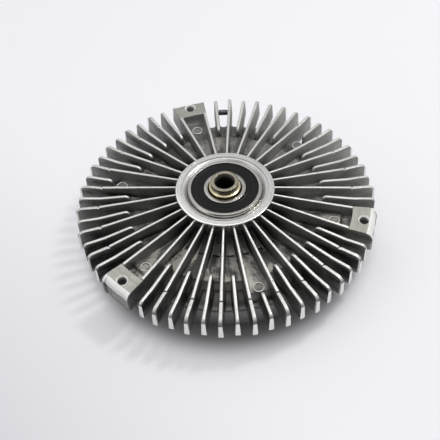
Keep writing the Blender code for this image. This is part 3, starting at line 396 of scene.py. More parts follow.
class Shading(Wiring):
    """A shader tree in the making."""

    def __init__(self, tree):
        super().__init__(tree)
        self.coordinates = self.add("TexCoord").outputs
        self.place = self.coordinates["Object"]

    def give(self, label, value):
        """Feeds one of the tree's results."""
        plug(self.tree, self.results[label], value)

    def noise(self, place, scale, detail=3.0, roughness=0.55):
        """Noise from 0 to 1."""
        inputs = {"Vector": place, "Scale": scale, "Detail": detail, "Roughness": roughness}
        return self.add("TexNoise", inputs).outputs["Fac"]

    def mix(self, share, low, high):
        """A colour between two others."""
        made = self.add("Mix", data_type="RGBA")
        for index, value in ((0, share), (6, low), (7, high)):
            plug(self.tree, made.inputs[index], (*value, 1.0) if isinstance(value, tuple) else value)
        return made.outputs[2]

    def group(self, group_tree, **values):
        """A group's outputs, its inputs given as words with _ for spaces."""
        made = self.add("Group", node_tree=group_tree)
        for key, value in values.items():
            made.inputs[key.replace("_", " ")].default_value = value
        return made.outputs

    def flat_place(self):
        """The place without its height."""
        return self.vector("MULTIPLY", self.place, (1.0, 1.0, 0.0))

    def radius(self):
        """The distance from the shaft's axis."""
        return self.vector("LENGTH", self.flat_place())

    def toward_lit_side(self, low, high, most=1.0):
        """How far a place lies towards the side that the cast finish paints paler as painted light, where the
        lugs' stains also lie.
        """
        return self.rise(self.vector("DOT_PRODUCT", self.place, LIT_SIDE), low, high, 0.0, most)


class Group(Shading):
    """A shader group with named inputs and outputs, for what more than one finish uses."""

    def __init__(self, name, inputs, outputs):
        super().__init__(bpy.data.node_groups.new(name, "ShaderNodeTree"))
        for label, value in inputs.items():
            socket = self.tree.interface.new_socket(label, in_out="INPUT", socket_type="NodeSocketFloat")
            socket.default_value = value
        for label in outputs:
            self.tree.interface.new_socket(label, in_out="OUTPUT", socket_type="NodeSocketFloat")
        self.given = self.tree.nodes.new("NodeGroupInput").outputs
        self.results = self.tree.nodes.new("NodeGroupOutput").inputs


def outward_streaks(wires):
    """Coordinates that stretch a pattern away from the shaft, as the air stream draws dirt out."""
    flat = wires.flat_place()
    reach = wires.math("MULTIPLY_ADD", wires.vector("LENGTH", flat), 0.5, 25.0 * MM)
    drawn = wires.vector("SCALE", wires.vector("NORMALIZE", flat), reach)
    return wires.vector("ADD", drawn, wires.vector("MULTIPLY", wires.place, (0.0, 0.0, 1.0)))


def cast_skin():
    """Cast skin: tone and broad stains, a fine grain and scattered pits."""
    skin = Group("cast_skin", {"Grain Per Metre": 1500.0, "Pits": 0.3},
                 ("Tone", "Stain", "Deposit", "Pit", "Height"))
    per_metre = skin.given["Grain Per Metre"]
    blotch = skin.noise(skin.place, 95.0, 4.0)
    grain = skin.noise(skin.place, per_metre)
    fine = skin.noise(skin.place, skin.times(per_metre, 3.1), 2.0)
    rough = skin.plus(skin.times(grain, 0.7), skin.times(fine, 0.3))
    streaks = outward_streaks(skin)
    aside = skin.vector("ADD", streaks, (0.31, 0.17, 0.05))
    cells = skin.add("TexVoronoi", {"Vector": skin.place, "Scale": skin.times(per_metre, 0.42)}).outputs
    chosen = skin.math("GREATER_THAN", skin.part(cells["Color"], "X"), 0.80)
    pit = skin.times(skin.fall(cells["Distance"], 0.08, 0.24), chosen, skin.given["Pits"])
    skin.give("Tone", skin.plus(skin.times(blotch, 0.65), skin.times(grain, 0.35)))
    skin.give("Stain", skin.rise(skin.noise(streaks, 62.0, 6.0, 0.68), 0.40, 0.60))
    skin.give("Deposit", skin.rise(skin.noise(aside, 100.0, 6.0, 0.70), 0.46, 0.57))
    skin.give("Pit", pit)
    skin.give("Height", skin.minus(rough, pit))
    return skin.tree


def lathe_marks():
    """Fine rings round the shaft's axis, as a lathe leaves them."""
    marks = Group("lathe_marks", {"Rings Per Metre": 3000.0}, ("Tone", "Height"))
    across = marks.plus(marks.radius(), marks.times(marks.part(marks.place, "Z"), 0.83))
    steps = marks.times(across, marks.given["Rings Per Metre"])
    rings = marks.noise(marks.add("CombineXYZ", {"X": steps}).outputs[0], 1.0, 3.0, 0.6)
    broad = marks.noise(marks.add("CombineXYZ", {"X": marks.times(steps, 0.21)}).outputs[0], 1.0, 2.0)
    patch = marks.noise(marks.place, 140.0, 2.0)
    tone = marks.plus(marks.times(rings, 0.4), marks.times(broad, 0.35))
    tone = marks.plus(tone, marks.times(patch, 0.15))
    marks.give("Tone", marks.slope(tone, 0.30, 0.60))
    marks.give("Height", rings)
    return marks.tree


def facing_and_height():
    """How much a surface looks up, and how high it lies, for the painted highlight on the crests, the painted
    shade low down and the deposits.
    """
    up_and_high = Group("facing_and_height", {"Low": 0.0, "High": 0.03}, ("Facing Up", "Depth"))
    low, high = up_and_high.given["Low"], up_and_high.given["High"]
    upright = up_and_high.math("ABSOLUTE", up_and_high.part(up_and_high.coordinates["Normal"], "Z"))
    above = up_and_high.minus(up_and_high.part(up_and_high.place, "Z"), low)
    up_and_high.give("Facing Up", up_and_high.rise(upright, 0.25, 0.80))
    up_and_high.give("Depth", up_and_high.math("DIVIDE", above, up_and_high.minus(high, low), clamp=True))
    return up_and_high.tree


CAST_SKIN = cast_skin()
LATHE_MARKS = lathe_marks()
FACING_AND_HEIGHT = facing_and_height()


# Finishes

class Finish(Shading):
    """A material with a Principled shader, in the making."""

    def __init__(self, name, metallic):
        self.material = bpy.data.materials.new(name)
        self.material.use_nodes = True
        super().__init__(self.material.node_tree)
        self.results = self.tree.nodes["Principled BSDF"].inputs
        self.give("Metallic", metallic)

    def bump(self, height, distance):
        """Feeds a height to the shader's normal."""
        made = self.add("Bump", {"Height": height, "Distance": distance, "Strength": 1.0})
        self.give("Normal", made.outputs["Normal"])


def cast_zones(paint, toward_lit_side, less_on_lit_side):
    """Shares of the casting's dusty zone, of its painted shade on the deck, along the plateau's edge and by the
    boss, and of the painted sheen along the rim.
    """
    radius, height = paint.radius(), paint.part(paint.place, "Z")

    def zone(below, inside=None, outside=None):
        share = paint.fall(height, below[0] * MM, below[1] * MM)
        if inside:
            share = paint.times(share, paint.fall(radius, inside[0] * MM, inside[1] * MM))
        if outside:
            share = paint.times(share, paint.rise(radius, outside[0] * MM, outside[1] * MM))
        return share
    dusty = paint.times(zone((23.0, 27.5), inside=(61.5, 65.5), outside=(53.5, 56.5)), less_on_lit_side, 0.6)
    # Painted shade on the deck between the fins, in the oily colour.
    shaded_deck = paint.times(zone((20.2, 21.5), outside=(56.4, 57.8)), less_on_lit_side, 0.85)
    # Painted sheen along the rim's rounding, in the pale colour.
    rim_sheen = paint.times(zone((20.2, 21.5), outside=(66.0, 69.0)), 0.35)
    # Painted shade along the plateau's outer edge and the fins' roots there, on the lit side.
    shaded_roots = paint.times(zone((26.0, 29.0), inside=(57.0, 60.0), outside=(53.1, 53.7)), toward_lit_side, 0.9)
    # Painted shade on the ground round the boss.
    shade_by_boss = zone((30.5, 35.0), inside=(31.0, 44.0))
    painted_shade = paint.math("MAXIMUM", paint.times(shade_by_boss, less_on_lit_side, 0.9), shaded_roots)
    return dusty, shaded_deck, rim_sheen, painted_shade, shade_by_boss


def cast_metal(name, oil_and_shade, dark, pale, crest, crest_low, crest_high):
    """Cast aluminium: oily stains low down, a side painted paler as painted light, a painted highlight on the
    crests where it looks up, and painted shade, partly grime, low down and by the boss.
    """
    paint = Finish(name, 0.85)
    skin = paint.group(CAST_SKIN, Grain_Per_Metre=1500.0, Pits=0.9)
    up_and_high = paint.group(FACING_AND_HEIGHT, Low=crest_low, High=crest_high)
    up, low = up_and_high["Facing Up"], paint.rest(up_and_high["Depth"])
    # Painted light: one side of the casting is painted paler, duller and less metallic, as if lit; stains,
    # deposits and painted shade are weaker there.
    toward_lit_side = paint.toward_lit_side(5.0 * MM, 75.0 * MM)
    less_on_lit_side = paint.rest(paint.times(toward_lit_side, 0.75))
    stained = paint.times(skin["Stain"], low, less_on_lit_side)
    # Painted shade, partly grime: ground that looks up, low between the fins, takes the oily colour.
    grime_and_shade = paint.times(up, low, paint.slope(toward_lit_side, 0.0, 1.0, 0.78, 0.88))
    chalky = paint.times(skin["Deposit"], low, up, less_on_lit_side)
    # Painted light: the paler colour on the lit side.
    lit_side_paling = paint.times(toward_lit_side, paint.minus(0.75, paint.times(skin["Stain"], 0.45)),
                           paint.rest(paint.times(up, low, 0.5)))
    dusty, shaded_deck, rim_sheen, painted_shade, shade_by_boss = cast_zones(paint, toward_lit_side, less_on_lit_side)
    # Painted highlight on the crests that look up, weaker on the lit side and none by the boss.
    crest_highlight = paint.times(up, up_and_high["Depth"], paint.rest(paint.times(toward_lit_side, 0.55)), paint.rest(shade_by_boss))
    colour = paint.mix(skin["Tone"], dark, pale)
    for share, over in (
        (stained, oil_and_shade), (grime_and_shade, oil_and_shade), (paint.times(chalky, 0.4), DEPOSIT_COLOUR), (dusty, DEPOSIT_COLOUR),
        (shaded_deck, oil_and_shade), (rim_sheen, pale), (lit_side_paling, PAINTED_LIGHT_COLOUR), (crest_highlight, crest), (painted_shade, PAINTED_SHADE_COLOUR),
        (skin["Pit"], oil_and_shade),
    ):
        colour = paint.mix(share, colour, over)
    paint.give("Base Color", colour)
    dull = paint.plus(paint.slope(skin["Tone"], 0.3, 0.7, 0.62, 0.42), paint.times(toward_lit_side, 0.12))
    paint.give("Roughness", paint.minus(dull, paint.times(stained, 0.12)))
    metal = paint.slope(toward_lit_side, 0.0, 1.0, 0.92, 0.60)
    paint.give("Metallic", paint.minus(metal, paint.times(chalky, 0.35)))
    paint.bump(skin["Height"], 0.00014)
    return paint.material


def lathed_metal(name, low, high, rings, dull_low, dull_high, depth):
    """Metal turned on a lathe."""
    paint = Finish(name, 1.0)
    marks = paint.group(LATHE_MARKS, Rings_Per_Metre=rings)
    paint.give("Base Color", paint.mix(marks["Tone"], low, high))
    paint.give("Roughness", paint.slope(marks["Tone"], 0.25, 0.75, dull_high, dull_low))
    paint.bump(marks["Height"], depth)
    return paint.material


def milled_metal(name, low, high, dull, pits, stains, metallic=1.0):
    """A milled face on a casting: fairly smooth, with open pits."""
    paint = Finish(name, metallic)
    skin = paint.group(CAST_SKIN, Grain_Per_Metre=1300.0, Pits=pits)
    marks = paint.group(LATHE_MARKS, Rings_Per_Metre=2200.0)
    colour = paint.mix(marks["Tone"], low, high)
    colour = paint.mix(paint.toward_lit_side(-20.0 * MM, 25.0 * MM, 1.35 * stains), colour, (0.30, 0.305, 0.27))
    colour = paint.mix(paint.times(skin["Stain"], stains), colour, (0.30, 0.30, 0.25))
    paint.give("Base Color", paint.mix(skin["Pit"], colour, (0.16, 0.15, 0.14)))
    paint.give("Roughness", paint.slope(skin["Tone"], 0.3, 0.7, dull + 0.07, dull - 0.07))
    paint.bump(paint.minus(paint.times(marks["Height"], 0.25), skin["Pit"]), 0.00010)
    return paint.material


def plated_steel():
    """Zinc plate with a yellow passivation that has thinned towards the end of the neck, where the bare zinc is
    painted dark as a painted reflection.
    """
    paint = Finish("yellow_zinc", 1.0)
    marks = paint.group(LATHE_MARKS, Rings_Per_Metre=2600.0)
    bare = paint.rise(paint.part(paint.place, "Z"), 40.6 * MM, 43.4 * MM)
    patch = paint.noise(paint.place, 230.0)
    share = paint.plus(paint.times(bare, 0.8), paint.times(paint.minus(patch, 0.5), 0.7), clamp=True)
    gold = paint.mix(marks["Tone"], (0.56, 0.47, 0.26), (0.90, 0.82, 0.58))
    # The bare zinc is painted dark as a painted reflection.
    silver = paint.mix(marks["Tone"], (0.13, 0.122, 0.11), (0.33, 0.31, 0.28))
    paint.give("Base Color", paint.mix(share, gold, silver))
    paint.give("Roughness", paint.slope(patch, 0.3, 0.7, 0.20, 0.36))
    paint.bump(marks["Height"], 0.00004)
    return paint.material


def bore_with_painted_shade():
    """The shaft's bore: bare steel at the mouth, and painted shade that turns it near black further down."""
    paint = Finish("bore_with_painted_shade", 0.35)
    marks = paint.group(LATHE_MARKS, Rings_Per_Metre=1400.0)
    mouth = paint.rise(paint.part(paint.place, "Z"), 40.0 * MM, 45.5 * MM)
    steel = paint.mix(marks["Tone"], (0.26, 0.25, 0.20), (0.46, 0.44, 0.36))
    # Painted shade: near black below the mouth.
    paint.give("Base Color", paint.mix(mouth, (0.012, 0.011, 0.010), steel))
    paint.give("Roughness", paint.slope(mouth, 0.0, 1.0, 0.60, 0.34))
    paint.bump(marks["Height"], 0.00006)
    return paint.material


def rubber():
    """Black seal rubber: a soft sheen, mould rings and a little dust."""
    paint = Finish("seal_rubber", 0.0)
    marks = paint.group(LATHE_MARKS, Rings_Per_Metre=900.0)
    dust = paint.rise(paint.noise(paint.place, 420.0, 4.0), 0.45, 0.75)
    paint.give("Specular IOR Level", 0.19)
    paint.give("Base Color", paint.mix(dust, (0.004, 0.004, 0.0045), (0.010, 0.0095, 0.010)))
    paint.give("Roughness", paint.slope(dust, 0.0, 1.0, 0.42, 0.60))
    paint.bump(marks["Height"], 0.00008)
    return paint.material


def sheet_metal(name, low, high, dull):
    """Rolled or stamped steel: straight grain along Y, light stains."""
    paint = Finish(name, 1.0)
    squeezed = paint.add("Mapping", {"Vector": paint.place, "Scale": (1.0, 0.05, 1.0)}).outputs[0]
    streak = paint.noise(squeezed, 2400.0)
    stain = paint.noise(paint.place, 130.0, 4.0)
    tone = paint.plus(paint.times(streak, 0.5), paint.times(stain, 0.5))
    paint.give("Base Color", paint.mix(tone, low, high))
    paint.give("Roughness", paint.slope(stain, 0.3, 0.7, dull, dull + 0.14))
    paint.bump(streak, 0.00003)
    return paint.material


# The side that the cast finish paints paler as painted light, and that paler colour; the lugs' stains lie towards
# it too.
LIT_SIDE = (math.cos(math.radians(68)), math.sin(math.radians(68)), 0.0)
PAINTED_LIGHT_COLOUR = (0.60, 0.60, 0.58)
DEPOSIT_COLOUR = (0.76, 0.73, 0.65)
# The colour of the painted shade by the boss and along the plateau's edge.
PAINTED_SHADE_COLOUR = (0.035, 0.034, 0.032)
# The first colour of a cast finish is the oily one, which also paints shade low down and on the deck; the third,
# pale one also paints the rim's sheen, and the fourth paints the crests' highlight.
CAST = cast_metal("cast_aluminium", (0.055, 0.055, 0.052), (0.16, 0.16, 0.155), (0.46, 0.455, 0.44),
                  (0.74, 0.735, 0.71), 27.5 * MM, 30.0 * MM)
COVER_CAST = cast_metal("cast_cover_aluminium", (0.12, 0.12, 0.115), (0.34, 0.34, 0.335), (0.56, 0.56, 0.55),
                        (0.66, 0.66, 0.64), 4.0 * MM, 0.0)
MACHINED = lathed_metal("machined_boss", (0.36, 0.355, 0.34), (0.97, 0.965, 0.95), 900.0, 0.16, 0.32, 0.00006)
MILLED = milled_metal("milled_lugs", (0.32, 0.315, 0.29), (0.64, 0.635, 0.59), 0.58, 0.8, 0.4)
LANDS = milled_metal("milled_fin_lands", (0.46, 0.455, 0.44), (0.78, 0.775, 0.75), 0.50, 0.4, 0.0)
# The lugs' rounded edges and screw-hole mouths: milled, painted near white and barely metallic as a painted
# highlight.
LUG_EDGE_HIGHLIGHT = milled_metal("milled_lug_edges_painted_white", (0.84, 0.835, 0.81), (0.96, 0.955, 0.94), 0.38, 0.2, 0.0, 0.1)
TIPS = milled_metal("turned_fin_tips", (0.74, 0.735, 0.72), (0.92, 0.92, 0.90), 0.40, 0.2, 0.0)
ROTOR = lathed_metal("turned_rotor", (0.70, 0.70, 0.69), (0.86, 0.86, 0.85), 2000.0, 0.22, 0.34, 0.00004)
BEARING = lathed_metal("ground_bearing_steel", (0.31, 0.30, 0.28), (0.54, 0.53, 0.50), 5200.0, 0.16, 0.28, 0.00002)
BORE = bore_with_painted_shade()
ZINC = plated_steel()
RUBBER = rubber()
SHEET = sheet_metal("rolled_steel", (0.40, 0.40, 0.40), (0.58, 0.58, 0.57), 0.30)
DARK = sheet_metal("dark_spring_steel", (0.09, 0.09, 0.092), (0.19, 0.19, 0.19), 0.34)
BIMETAL = sheet_metal("bimetal", (0.48, 0.38, 0.25), (0.70, 0.60, 0.44), 0.26)


def dress(obj, body, slot, *nodes, finish=None):
    """The piece gets its finish, rides on its body and stands in for the CAD nodes."""
    if finish is not None:
        obj.data.materials.clear()
        obj.data.materials.append(finish)
    crisp(obj)
    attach(obj, body)
    if nodes:
        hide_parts(*nodes)


# The finned casting

def ground(r):
    """Height of the casting's surface under a fin."""
    if r < SKIRT:
        share = max(0.0, (r - BOSS) / (SKIRT - BOSS))
        return SKIRT_TOP + (PLATEAU_Z - SKIRT_TOP) * share ** 0.7
    if r < PLATEAU:
        return PLATEAU_Z
    if r < SLOPE_END:
        return PLATEAU_Z + (DECK_Z - PLATEAU_Z) * (r - PLATEAU) / (SLOPE_END - PLATEAU)
    return DECK_Z


def half_width(z):
    """Half a fin's thickness at a height."""
    return FIN_HALF + (FAN_FACE - z) * FIN_DRAFT


def fin_section(low, high, foot, edge, pinch, hangs):
    """One cross-section of a fin: flared foot or free underside, drafted flanks, rounded crest."""
    side = []
    if hangs:
        radius = 0.3 * MM
        wide = half_width(low + radius)
        side += [(wide - radius, low)]
        side += arc((wide - radius, low + radius), radius, -80, 0, 4)
    else:
        wide = half_width(low + foot)
        side += [(wide + foot, low - 1.0 * MM)]
        side += arc((wide + foot, low + foot - 0.04 * MM), foot, 270, 180, 4)
    top = half_width(high)
    edge = min(edge, 0.88 * top)
    middle = 0.5 * (side[-1][1] + high - edge)
    side += [(half_width(middle), middle)]
    side += arc((half_width(high - edge) - edge, high - edge), edge, 0, 86, 4)
    points = [(y * pinch, z) for y, z in side]
    return points + [(-y, z) for y, z in reversed(points)]


def fin(name, stations):
    """A fin along +X from its (x, section) stations."""
    return skinned(name, [[(x, y, z) for y, z in section] for x, section in stations])


def cast_crest(r):
    """Height of the cast crest, which falls in a straight line from the boss to the machined land."""
    share = (r - BOSS) / (LAND - BOSS)
    return FAN_FACE + LAND_STEP + (CREST_RISE - LAND_STEP) * (1 - share)


def corner_stations(tip, radius, level):
    """The (r, crest) places round a fin's outer top corner."""
    return arc((tip - radius, level - radius), radius, 90, 0, 8)


def end_pinch(r, start, tip):
    """How much a fin's ends are drawn in: a round nose inside, a slightly broken edge outside."""
    nose, broken = 0.9 * MM, 0.22 * MM
    share = 1.0
    if start is not None and r < start + nose:
        share = 0.35 + 0.65 * math.sqrt(max(0.0, 1 - ((start + nose - r) / nose) ** 2))
    if r > tip - broken:
        share *= 1 - 0.16 * ((r - tip + broken) / broken) ** 2
    return share


def fin_stations(places, start, tip, land_from):
    """Sections of a fin at its (r, crest) places."""
    made = []
    for r, crest in places:
        hangs = r > DRUM - 0.4 * MM
        low = FIN_FOOT if hangs else ground(r)
        foot = 0.55 * MM if PLATEAU - 0.5 * MM < r < SLOPE_END else 0.9 * MM
        edge = 0.16 * MM if r > land_from else 0.58 * MM
        made.append((r, fin_section(low, crest, foot, edge, end_pinch(r, start, tip), hangs)))
    return made


def long_fin():
    """One fin from the boss to the tip, with its machined land and the notch where it begins."""
    inner = [26.2, 28.2, 29.5, 31, 33, 35, 37, 38.5, 42, 46, 50, 53.5, 55, 55.6, 56.2, 56.8, 57.4, 58, 59.5,
             62, 65, 67.5, 69, 69.84, 69.86, 70.4]
    places = [(r * MM, cast_crest(r * MM)) for r in inner]
    places += [(r * MM, cast_crest(r * MM) + burr * MM) for r, burr in ((70.9, 0.05), (71.2, 0.06))]
    notch = ((71.38, 0.20), (71.46, -0.42), (72.25, -0.40), (72.45, 0.0), (74, 0.0), (77, 0.0), (79.5, 0.0))
    places += [(r * MM, FAN_FACE + step * MM) for r, step in notch]
    places += corner_stations(TIP, FIN_CORNER, FAN_FACE)
    return fin("long_fin", fin_stations(places, None, TIP, LAND))


def short_fin(start):
    """A fin that starts part of the way out, a little lower than the long ones."""
    level = FAN_FACE + LAND_STEP - SHORT_DROP
    radius = SHORT_CORNER
    first = level if start >= LAND - radius else cast_crest(start + radius) - SHORT_DROP
    places = arc((start + radius, first - radius), radius, 180, 90, 8)
    bend = max(LAND, start + radius)
    steps = 9 if start < 60 * MM else 3
    for i in range(1, steps + 1):
        share = i / steps
        r = start + radius + (bend - start - radius) * share
        places.append((r, first + (level - first) * share))
    if bend < DRUM:
        places.append((DRUM, level))
    places += [(r * MM, level) for r in (74, 77, 79.5)]
    places += corner_stations(SHORT_TIP, radius, level)
    places = sorted(set(places))
    extra = [r for r in (55.6, 56.2, 56.8, 57.4, 58, 59, 69.84, 69.86)
             if places[0][0] < r * MM < places[-1][0]]
    for r in extra:
        x = r * MM
        after = next(i for i, p in enumerate(places) if p[0] > x)
        (r0, z0), (r1, z1) = places[after - 1], places[after]
        places.insert(after, (x, z0 + (z1 - z0) * (x - r0) / (r1 - r0)))
    return fin("short_fin", fin_stations(places, start, SHORT_TIP, TIP))


def between_fins(outline, inset, steps):
    """A block that fills the gap between two long fins, out to their far flanks less the inset."""
    rings = []
    for i in range(steps + 1):
        share = -1 + 2 * i / steps
        turn = Matrix.Rotation(share * FIN_PITCH / 2, 3, "Z")
        rings.append([turn @ Vector((r, share * (half_width(z) - inset), z)) for r, z in outline])
    return skinned("block", rings)


def fan_lug():
    """The block that carries the fan, with a broad round outer edge, and its floor up to the pad."""
    tip = 84.5 * MM
    top = FAN_FACE + 0.02 * MM
    outline = [(BLOCK_START, BLOCK_FOOT), (tip, BLOCK_FOOT)]
    outline += arc((tip - FIN_CORNER, top - FIN_CORNER), FIN_CORNER, 0, 90, 12)
    outline += [(LAND + 0.25 * MM, top), (LAND, top - 0.25 * MM)]
    outline += arc((LAND - 2.4 * MM, 27.0 * MM), 2.4 * MM, 0, -90, 6)
    outline += rounded([
        (67.6 * MM, 24.6 * MM), (66.4 * MM, 24.6 * MM, 0.5 * MM), (65.2 * MM, BLOCK_Z, 0.5 * MM),
        (BLOCK_START, BLOCK_Z)])
    return between_fins(outline, -0.02 * MM, 16)


def pad_platform():
    """The raised ground that an ejector pad stands on."""
    outline = rounded([
        (BLOCK_START, BLOCK_FOOT), (66.6 * MM, BLOCK_FOOT), (64.8 * MM, BLOCK_Z, 1.0 * MM),
        (BLOCK_START, BLOCK_Z)])
    return between_fins(outline, 0.5 * MM, 8)


def ejector_pad():
    """A round pad with a raised edge and a shallow dimple, where an ejector pushed on the casting."""
    top = 26.75
    outline = outline_mm([(0, 19.1), (3.3, 19.1), (3.2, top, 0.25), (2.6, top, 0.2), (2.3, top - 0.6, 0.2),
                          (1.2, top - 0.5), (0, top - 0.75)], 3)
    return turned("ejector_pad", outline, 32, (PAD_CIRCLE, 0.0))


def screw_thread(name, radius, depth, pitch, low, high, chamfer, x):
    """What a tapped hole takes away: a helical groove with a chamfered mouth at the top."""
    per_turn, rows = 24, int((high - low) / pitch * 8)
    mouth = radius + depth + chamfer
    rings = []
    for z in [low + (high - low) * i / rows for i in range(rows + 1)] + [high + 1.0 * MM]:
        ring = []
        for k in range(per_turn):
            phase = (z / pitch - k / per_turn) % 1.0
            r = max(radius + depth * (1 - abs(2 * phase - 1)), mouth - max(0.0, high - z))
            a = TURN * k / per_turn
            ring.append((x + r * math.cos(a), r * math.sin(a), z))
        rings.append(ring)
    return skinned(name, rings)


def casting_outline():
    """Section of the casting without its fins: boss, skirt, plateau, rim, rolled lip, chamber, bearing seat."""
    outer = [
        (23.0, 39.0, 1.3), (23.7, 39.0), (23.8, 38.6), (24.2, 38.6), (24.3, 39.0), (26.2, 39.0), (26.3, 38.75),
        (26.6, 38.75), (26.7, 39.0), (27.7, 39.0, 0.7), (27.7, 30.7, 2.2), (31.4, 27.6, 6.0), (37.5, 26.2, 3.0),
        (37.95, 26.2, 0.12), (38.05, 25.2, 0.12), (39.15, 25.2, 0.12), (39.25, 26.2, 0.12),
        (55.4, 26.2, 0.9), (57.9, 20.0, 1.4), (70.25, 20.0, 1.5), (70.25, 7.2, 0.7),
        (64.2, 7.2, 0.3), (64.2, 8.7, 0.2), (66.3, 8.7), (66.3, 13.3), (62.0, 13.3), (62.0, 17.6, 0.6),
        (52.9, 17.6, 0.8), (50.4, 23.0, 0.6),
    ]
    rings = []
    for k in range(4):
        centre = 49.0 - 4.0 * k
        rings += [(centre - 1.2, 23.0), (centre - 1.2, 18.4, 0.2), (centre - 2.8, 18.4, 0.2), (centre - 2.8, 23.0)]
    rear = [(18.0, 23.0), (18.0, 26.3), (21.3, 26.3), (21.3, 37.8)]
    return outline_mm(outer + rings + rear)


CASTING_FINISHES = (CAST, MACHINED, MILLED, TIPS, LUG_EDGE_HIGHLIGHT, LANDS)


def face_finish(centre, up):
    """The finish of one of the casting's faces, from its centre and how much it looks up."""
    r, z = math.hypot(centre.x, centre.y), centre.z
    from_lug = abs((math.degrees(math.atan2(centre.y, centre.x)) + 60) % 120 - 60)
    aside = math.radians(from_lug)
    from_hole = math.hypot(r * math.cos(aside) - SCREW_CIRCLE, r * math.sin(aside))
    if r < BOSS + 0.1 * MM and z > BEARING_LOW:
        return MACHINED
    if from_hole < 3.3 * MM and abs(up) < 0.85:
        return LUG_EDGE_HIGHLIGHT if z > FAN_FACE - 0.9 * MM else CAST
    if r > LAND - 0.1 * MM and up > 0.9 and abs(z - FAN_FACE) < 0.1 * MM:
        return MILLED if from_lug < LUG_HALF_ANGLE else LANDS
    if r < 66.5 * MM and z < 17 * MM and up < 0.5:
        return MACHINED
    if from_lug < LUG_HALF_ANGLE and r > 80 * MM:
        return LUG_EDGE_HIGHLIGHT if up > 0.1 else CAST
    if r > 83.7 * MM and abs(up) < 0.2 and z < FAN_FACE - SHORT_CORNER:
        return TIPS
    if 58 * MM < r < 66 * MM and up > 0.5 and 26.5 * MM < z < 26.9 * MM:
        return LANDS
    return CAST


def finish_casting(obj):
    """Gives each face of the casting its finish."""
    obj.data.materials.clear()
    for finish in CASTING_FINISHES:
        obj.data.materials.append(finish)
    for face in obj.data.polygons:
        face.material_index = CASTING_FINISHES.index(face_finish(face.center, face.normal.z))


def build_casting():
    """The one-piece housing."""
    casting = turned("casting", casting_outline(), CASTING_ROUND)
    third, sixth = TURN / 3, TURN / 6
    for name, piece, copies, first, between, leave_every, ripple in (
        ("long_fins", long_fin(), FIN_COUNT, FIN_PITCH / 2, FIN_PITCH, 0, RIPPLE),
        ("platforms", pad_platform(), 3, sixth, third, 0, 0.0),
        ("lugs", fan_lug(), 3, 0.0, third, 0, 0.0),
        ("short_fins", short_fin(SHORT_START), FIN_COUNT, 0.0, FIN_PITCH, 5, RIPPLE),
        ("clipped_fins", short_fin(CLIPPED_START), 3, sixth, third, 0, RIPPLE),
        ("pads", ejector_pad(), 6, 0.0, sixth, 0, 0.0),
    ):
        ring = ring_of_copies(name, piece, copies, first, between, CAST, leave_every, ripple)
        boolean(casting, ring, "UNION")
    cutter = screw_thread("thread", 2.5 * MM, 0.35 * MM, 1.0 * MM, 17.0 * MM, FAN_FACE + 0.03 * MM, 0.5 * MM,
                          SCREW_CIRCLE)
    boolean(casting, ring_of_copies("threads", cutter, 3, 0.0, third, CAST), "DIFFERENCE")
    finish_casting(casting)
    dress(casting, "housing", "cast_housing", "finned_housing")


# The front cover

def cover_outline():
    """Section of the cover: sleeve with the seal's seat, dished middle, flat outer part, edge groove."""
    points = [
        (11.0, 3.6, 0.3), (15.3, 3.6, 0.6), (15.3, 5.0, 0.6), (38.0, 5.0, 1.6), (40.0, 9.0, 1.2), (66.0, 9.0, 0.2),
        (66.0, 10.3), (64.3, 10.3), (64.3, 11.7), (66.0, 11.7), (66.0, 13.0, 0.2), (36.0, 13.0), (36.0, 8.0, 0.8),
        (15.3, 8.0, 0.8), (15.3, 13.0), (12.3, 13.0, 0.3), (12.3, 5.8), (11.0, 5.8),
    ]
    return outline_mm(points)


def cover_fin():
    """One radial fin of the cover, its lower corners round."""
    start, end, root, corner = 41.0 * MM, 63.0 * MM, 10.2 * MM, 2.5 * MM
    middle = corner + 0.06 * MM
    outline = [(start, root)] + arc((start + corner, middle), corner, 180, 270, 6)
    outline += arc((end - corner, middle), corner, 270, 360, 6) + [(end, root)]
    draft = math.tan(math.radians(2.0))
    rings = [[(r, side * (0.75 * MM + z * draft), z) for r, z in outline] for side in (-1, 1)]
    obj = skinned("cover_fin", rings)
    bevel(obj, 0.3 * MM)
    return obj


def build_cover():
    """The front cover with its fins, the strip's pad and the holes."""
    cover = turned("cover", cover_outline())
    pitch = TURN / COVER_FIN_COUNT
    fins = ring_of_copies("cover_fins", cover_fin(), COVER_FIN_COUNT, pitch / 2, pitch, COVER_CAST,
                          ripple=0.10 * MM)
    boolean(cover, fins, "UNION")
    bm = bmesh.new()
    add_block(bm, (10 * MM, 6 * MM, 2.0 * MM), (VALVE_X, STRIP_Y, 5.2 * MM))
    pad = to_object("strip_pad", bm)
    bevel(pad, 0.3 * MM)
    boolean(cover, pad, "UNION")
    holes = bmesh.new()
    add_turned(holes, rod_outline(3.5, 3, 10), SMALL_ROUND, (VALVE_X, 0))
    for x in STRIP_RIVETS:
        add_turned(holes, rod_outline(1.2, 2, 6.6), 24, (x, STRIP_Y))
    add_block(holes, (26.85 * MM, 4 * MM, 3.5 * MM), (-47.425 * MM, 0, 13.25 * MM))
    boolean(cover, to_object("cover_holes", holes), "DIFFERENCE")
    dress(cover, "housing", "cast_cover", "front_cover", finish=COVER_CAST)


# Turned pieces

def turned_piece(name, points, body, slot, cad_name, finish, segments=ROUND, centre=(0.0, 0.0), steps=4):
    """A turned piece from its outline in millimetres, dressed in its finish."""
    obj = turned(name, outline_mm(points, steps), segments, centre)
    dress(obj, body, slot, cad_name, finish=finish)
    return obj


def race(face):
    """The ball groove in a ring's face, in millimetres, from low to high."""
    circle, height, radius = BALL_CIRCLE / MM, BALL_Z / MM, 4.05
    reach = math.degrees(math.acos(abs(face - circle) / radius))
    if face > circle:
        return arc((circle, height), radius, -reach, reach, 10)
    return arc((circle, height), radius, 180 + reach, 180 - reach, 10)


def shade_within(obj, radius, finish):
    """Gives the faces that lie nearer the shaft's axis than the radius a finish of their own."""
    obj.data.materials.append(finish)
    for face in obj.data.polygons:
        if math.hypot(face.center.x, face.center.y) < radius:
            face.material_index = 1


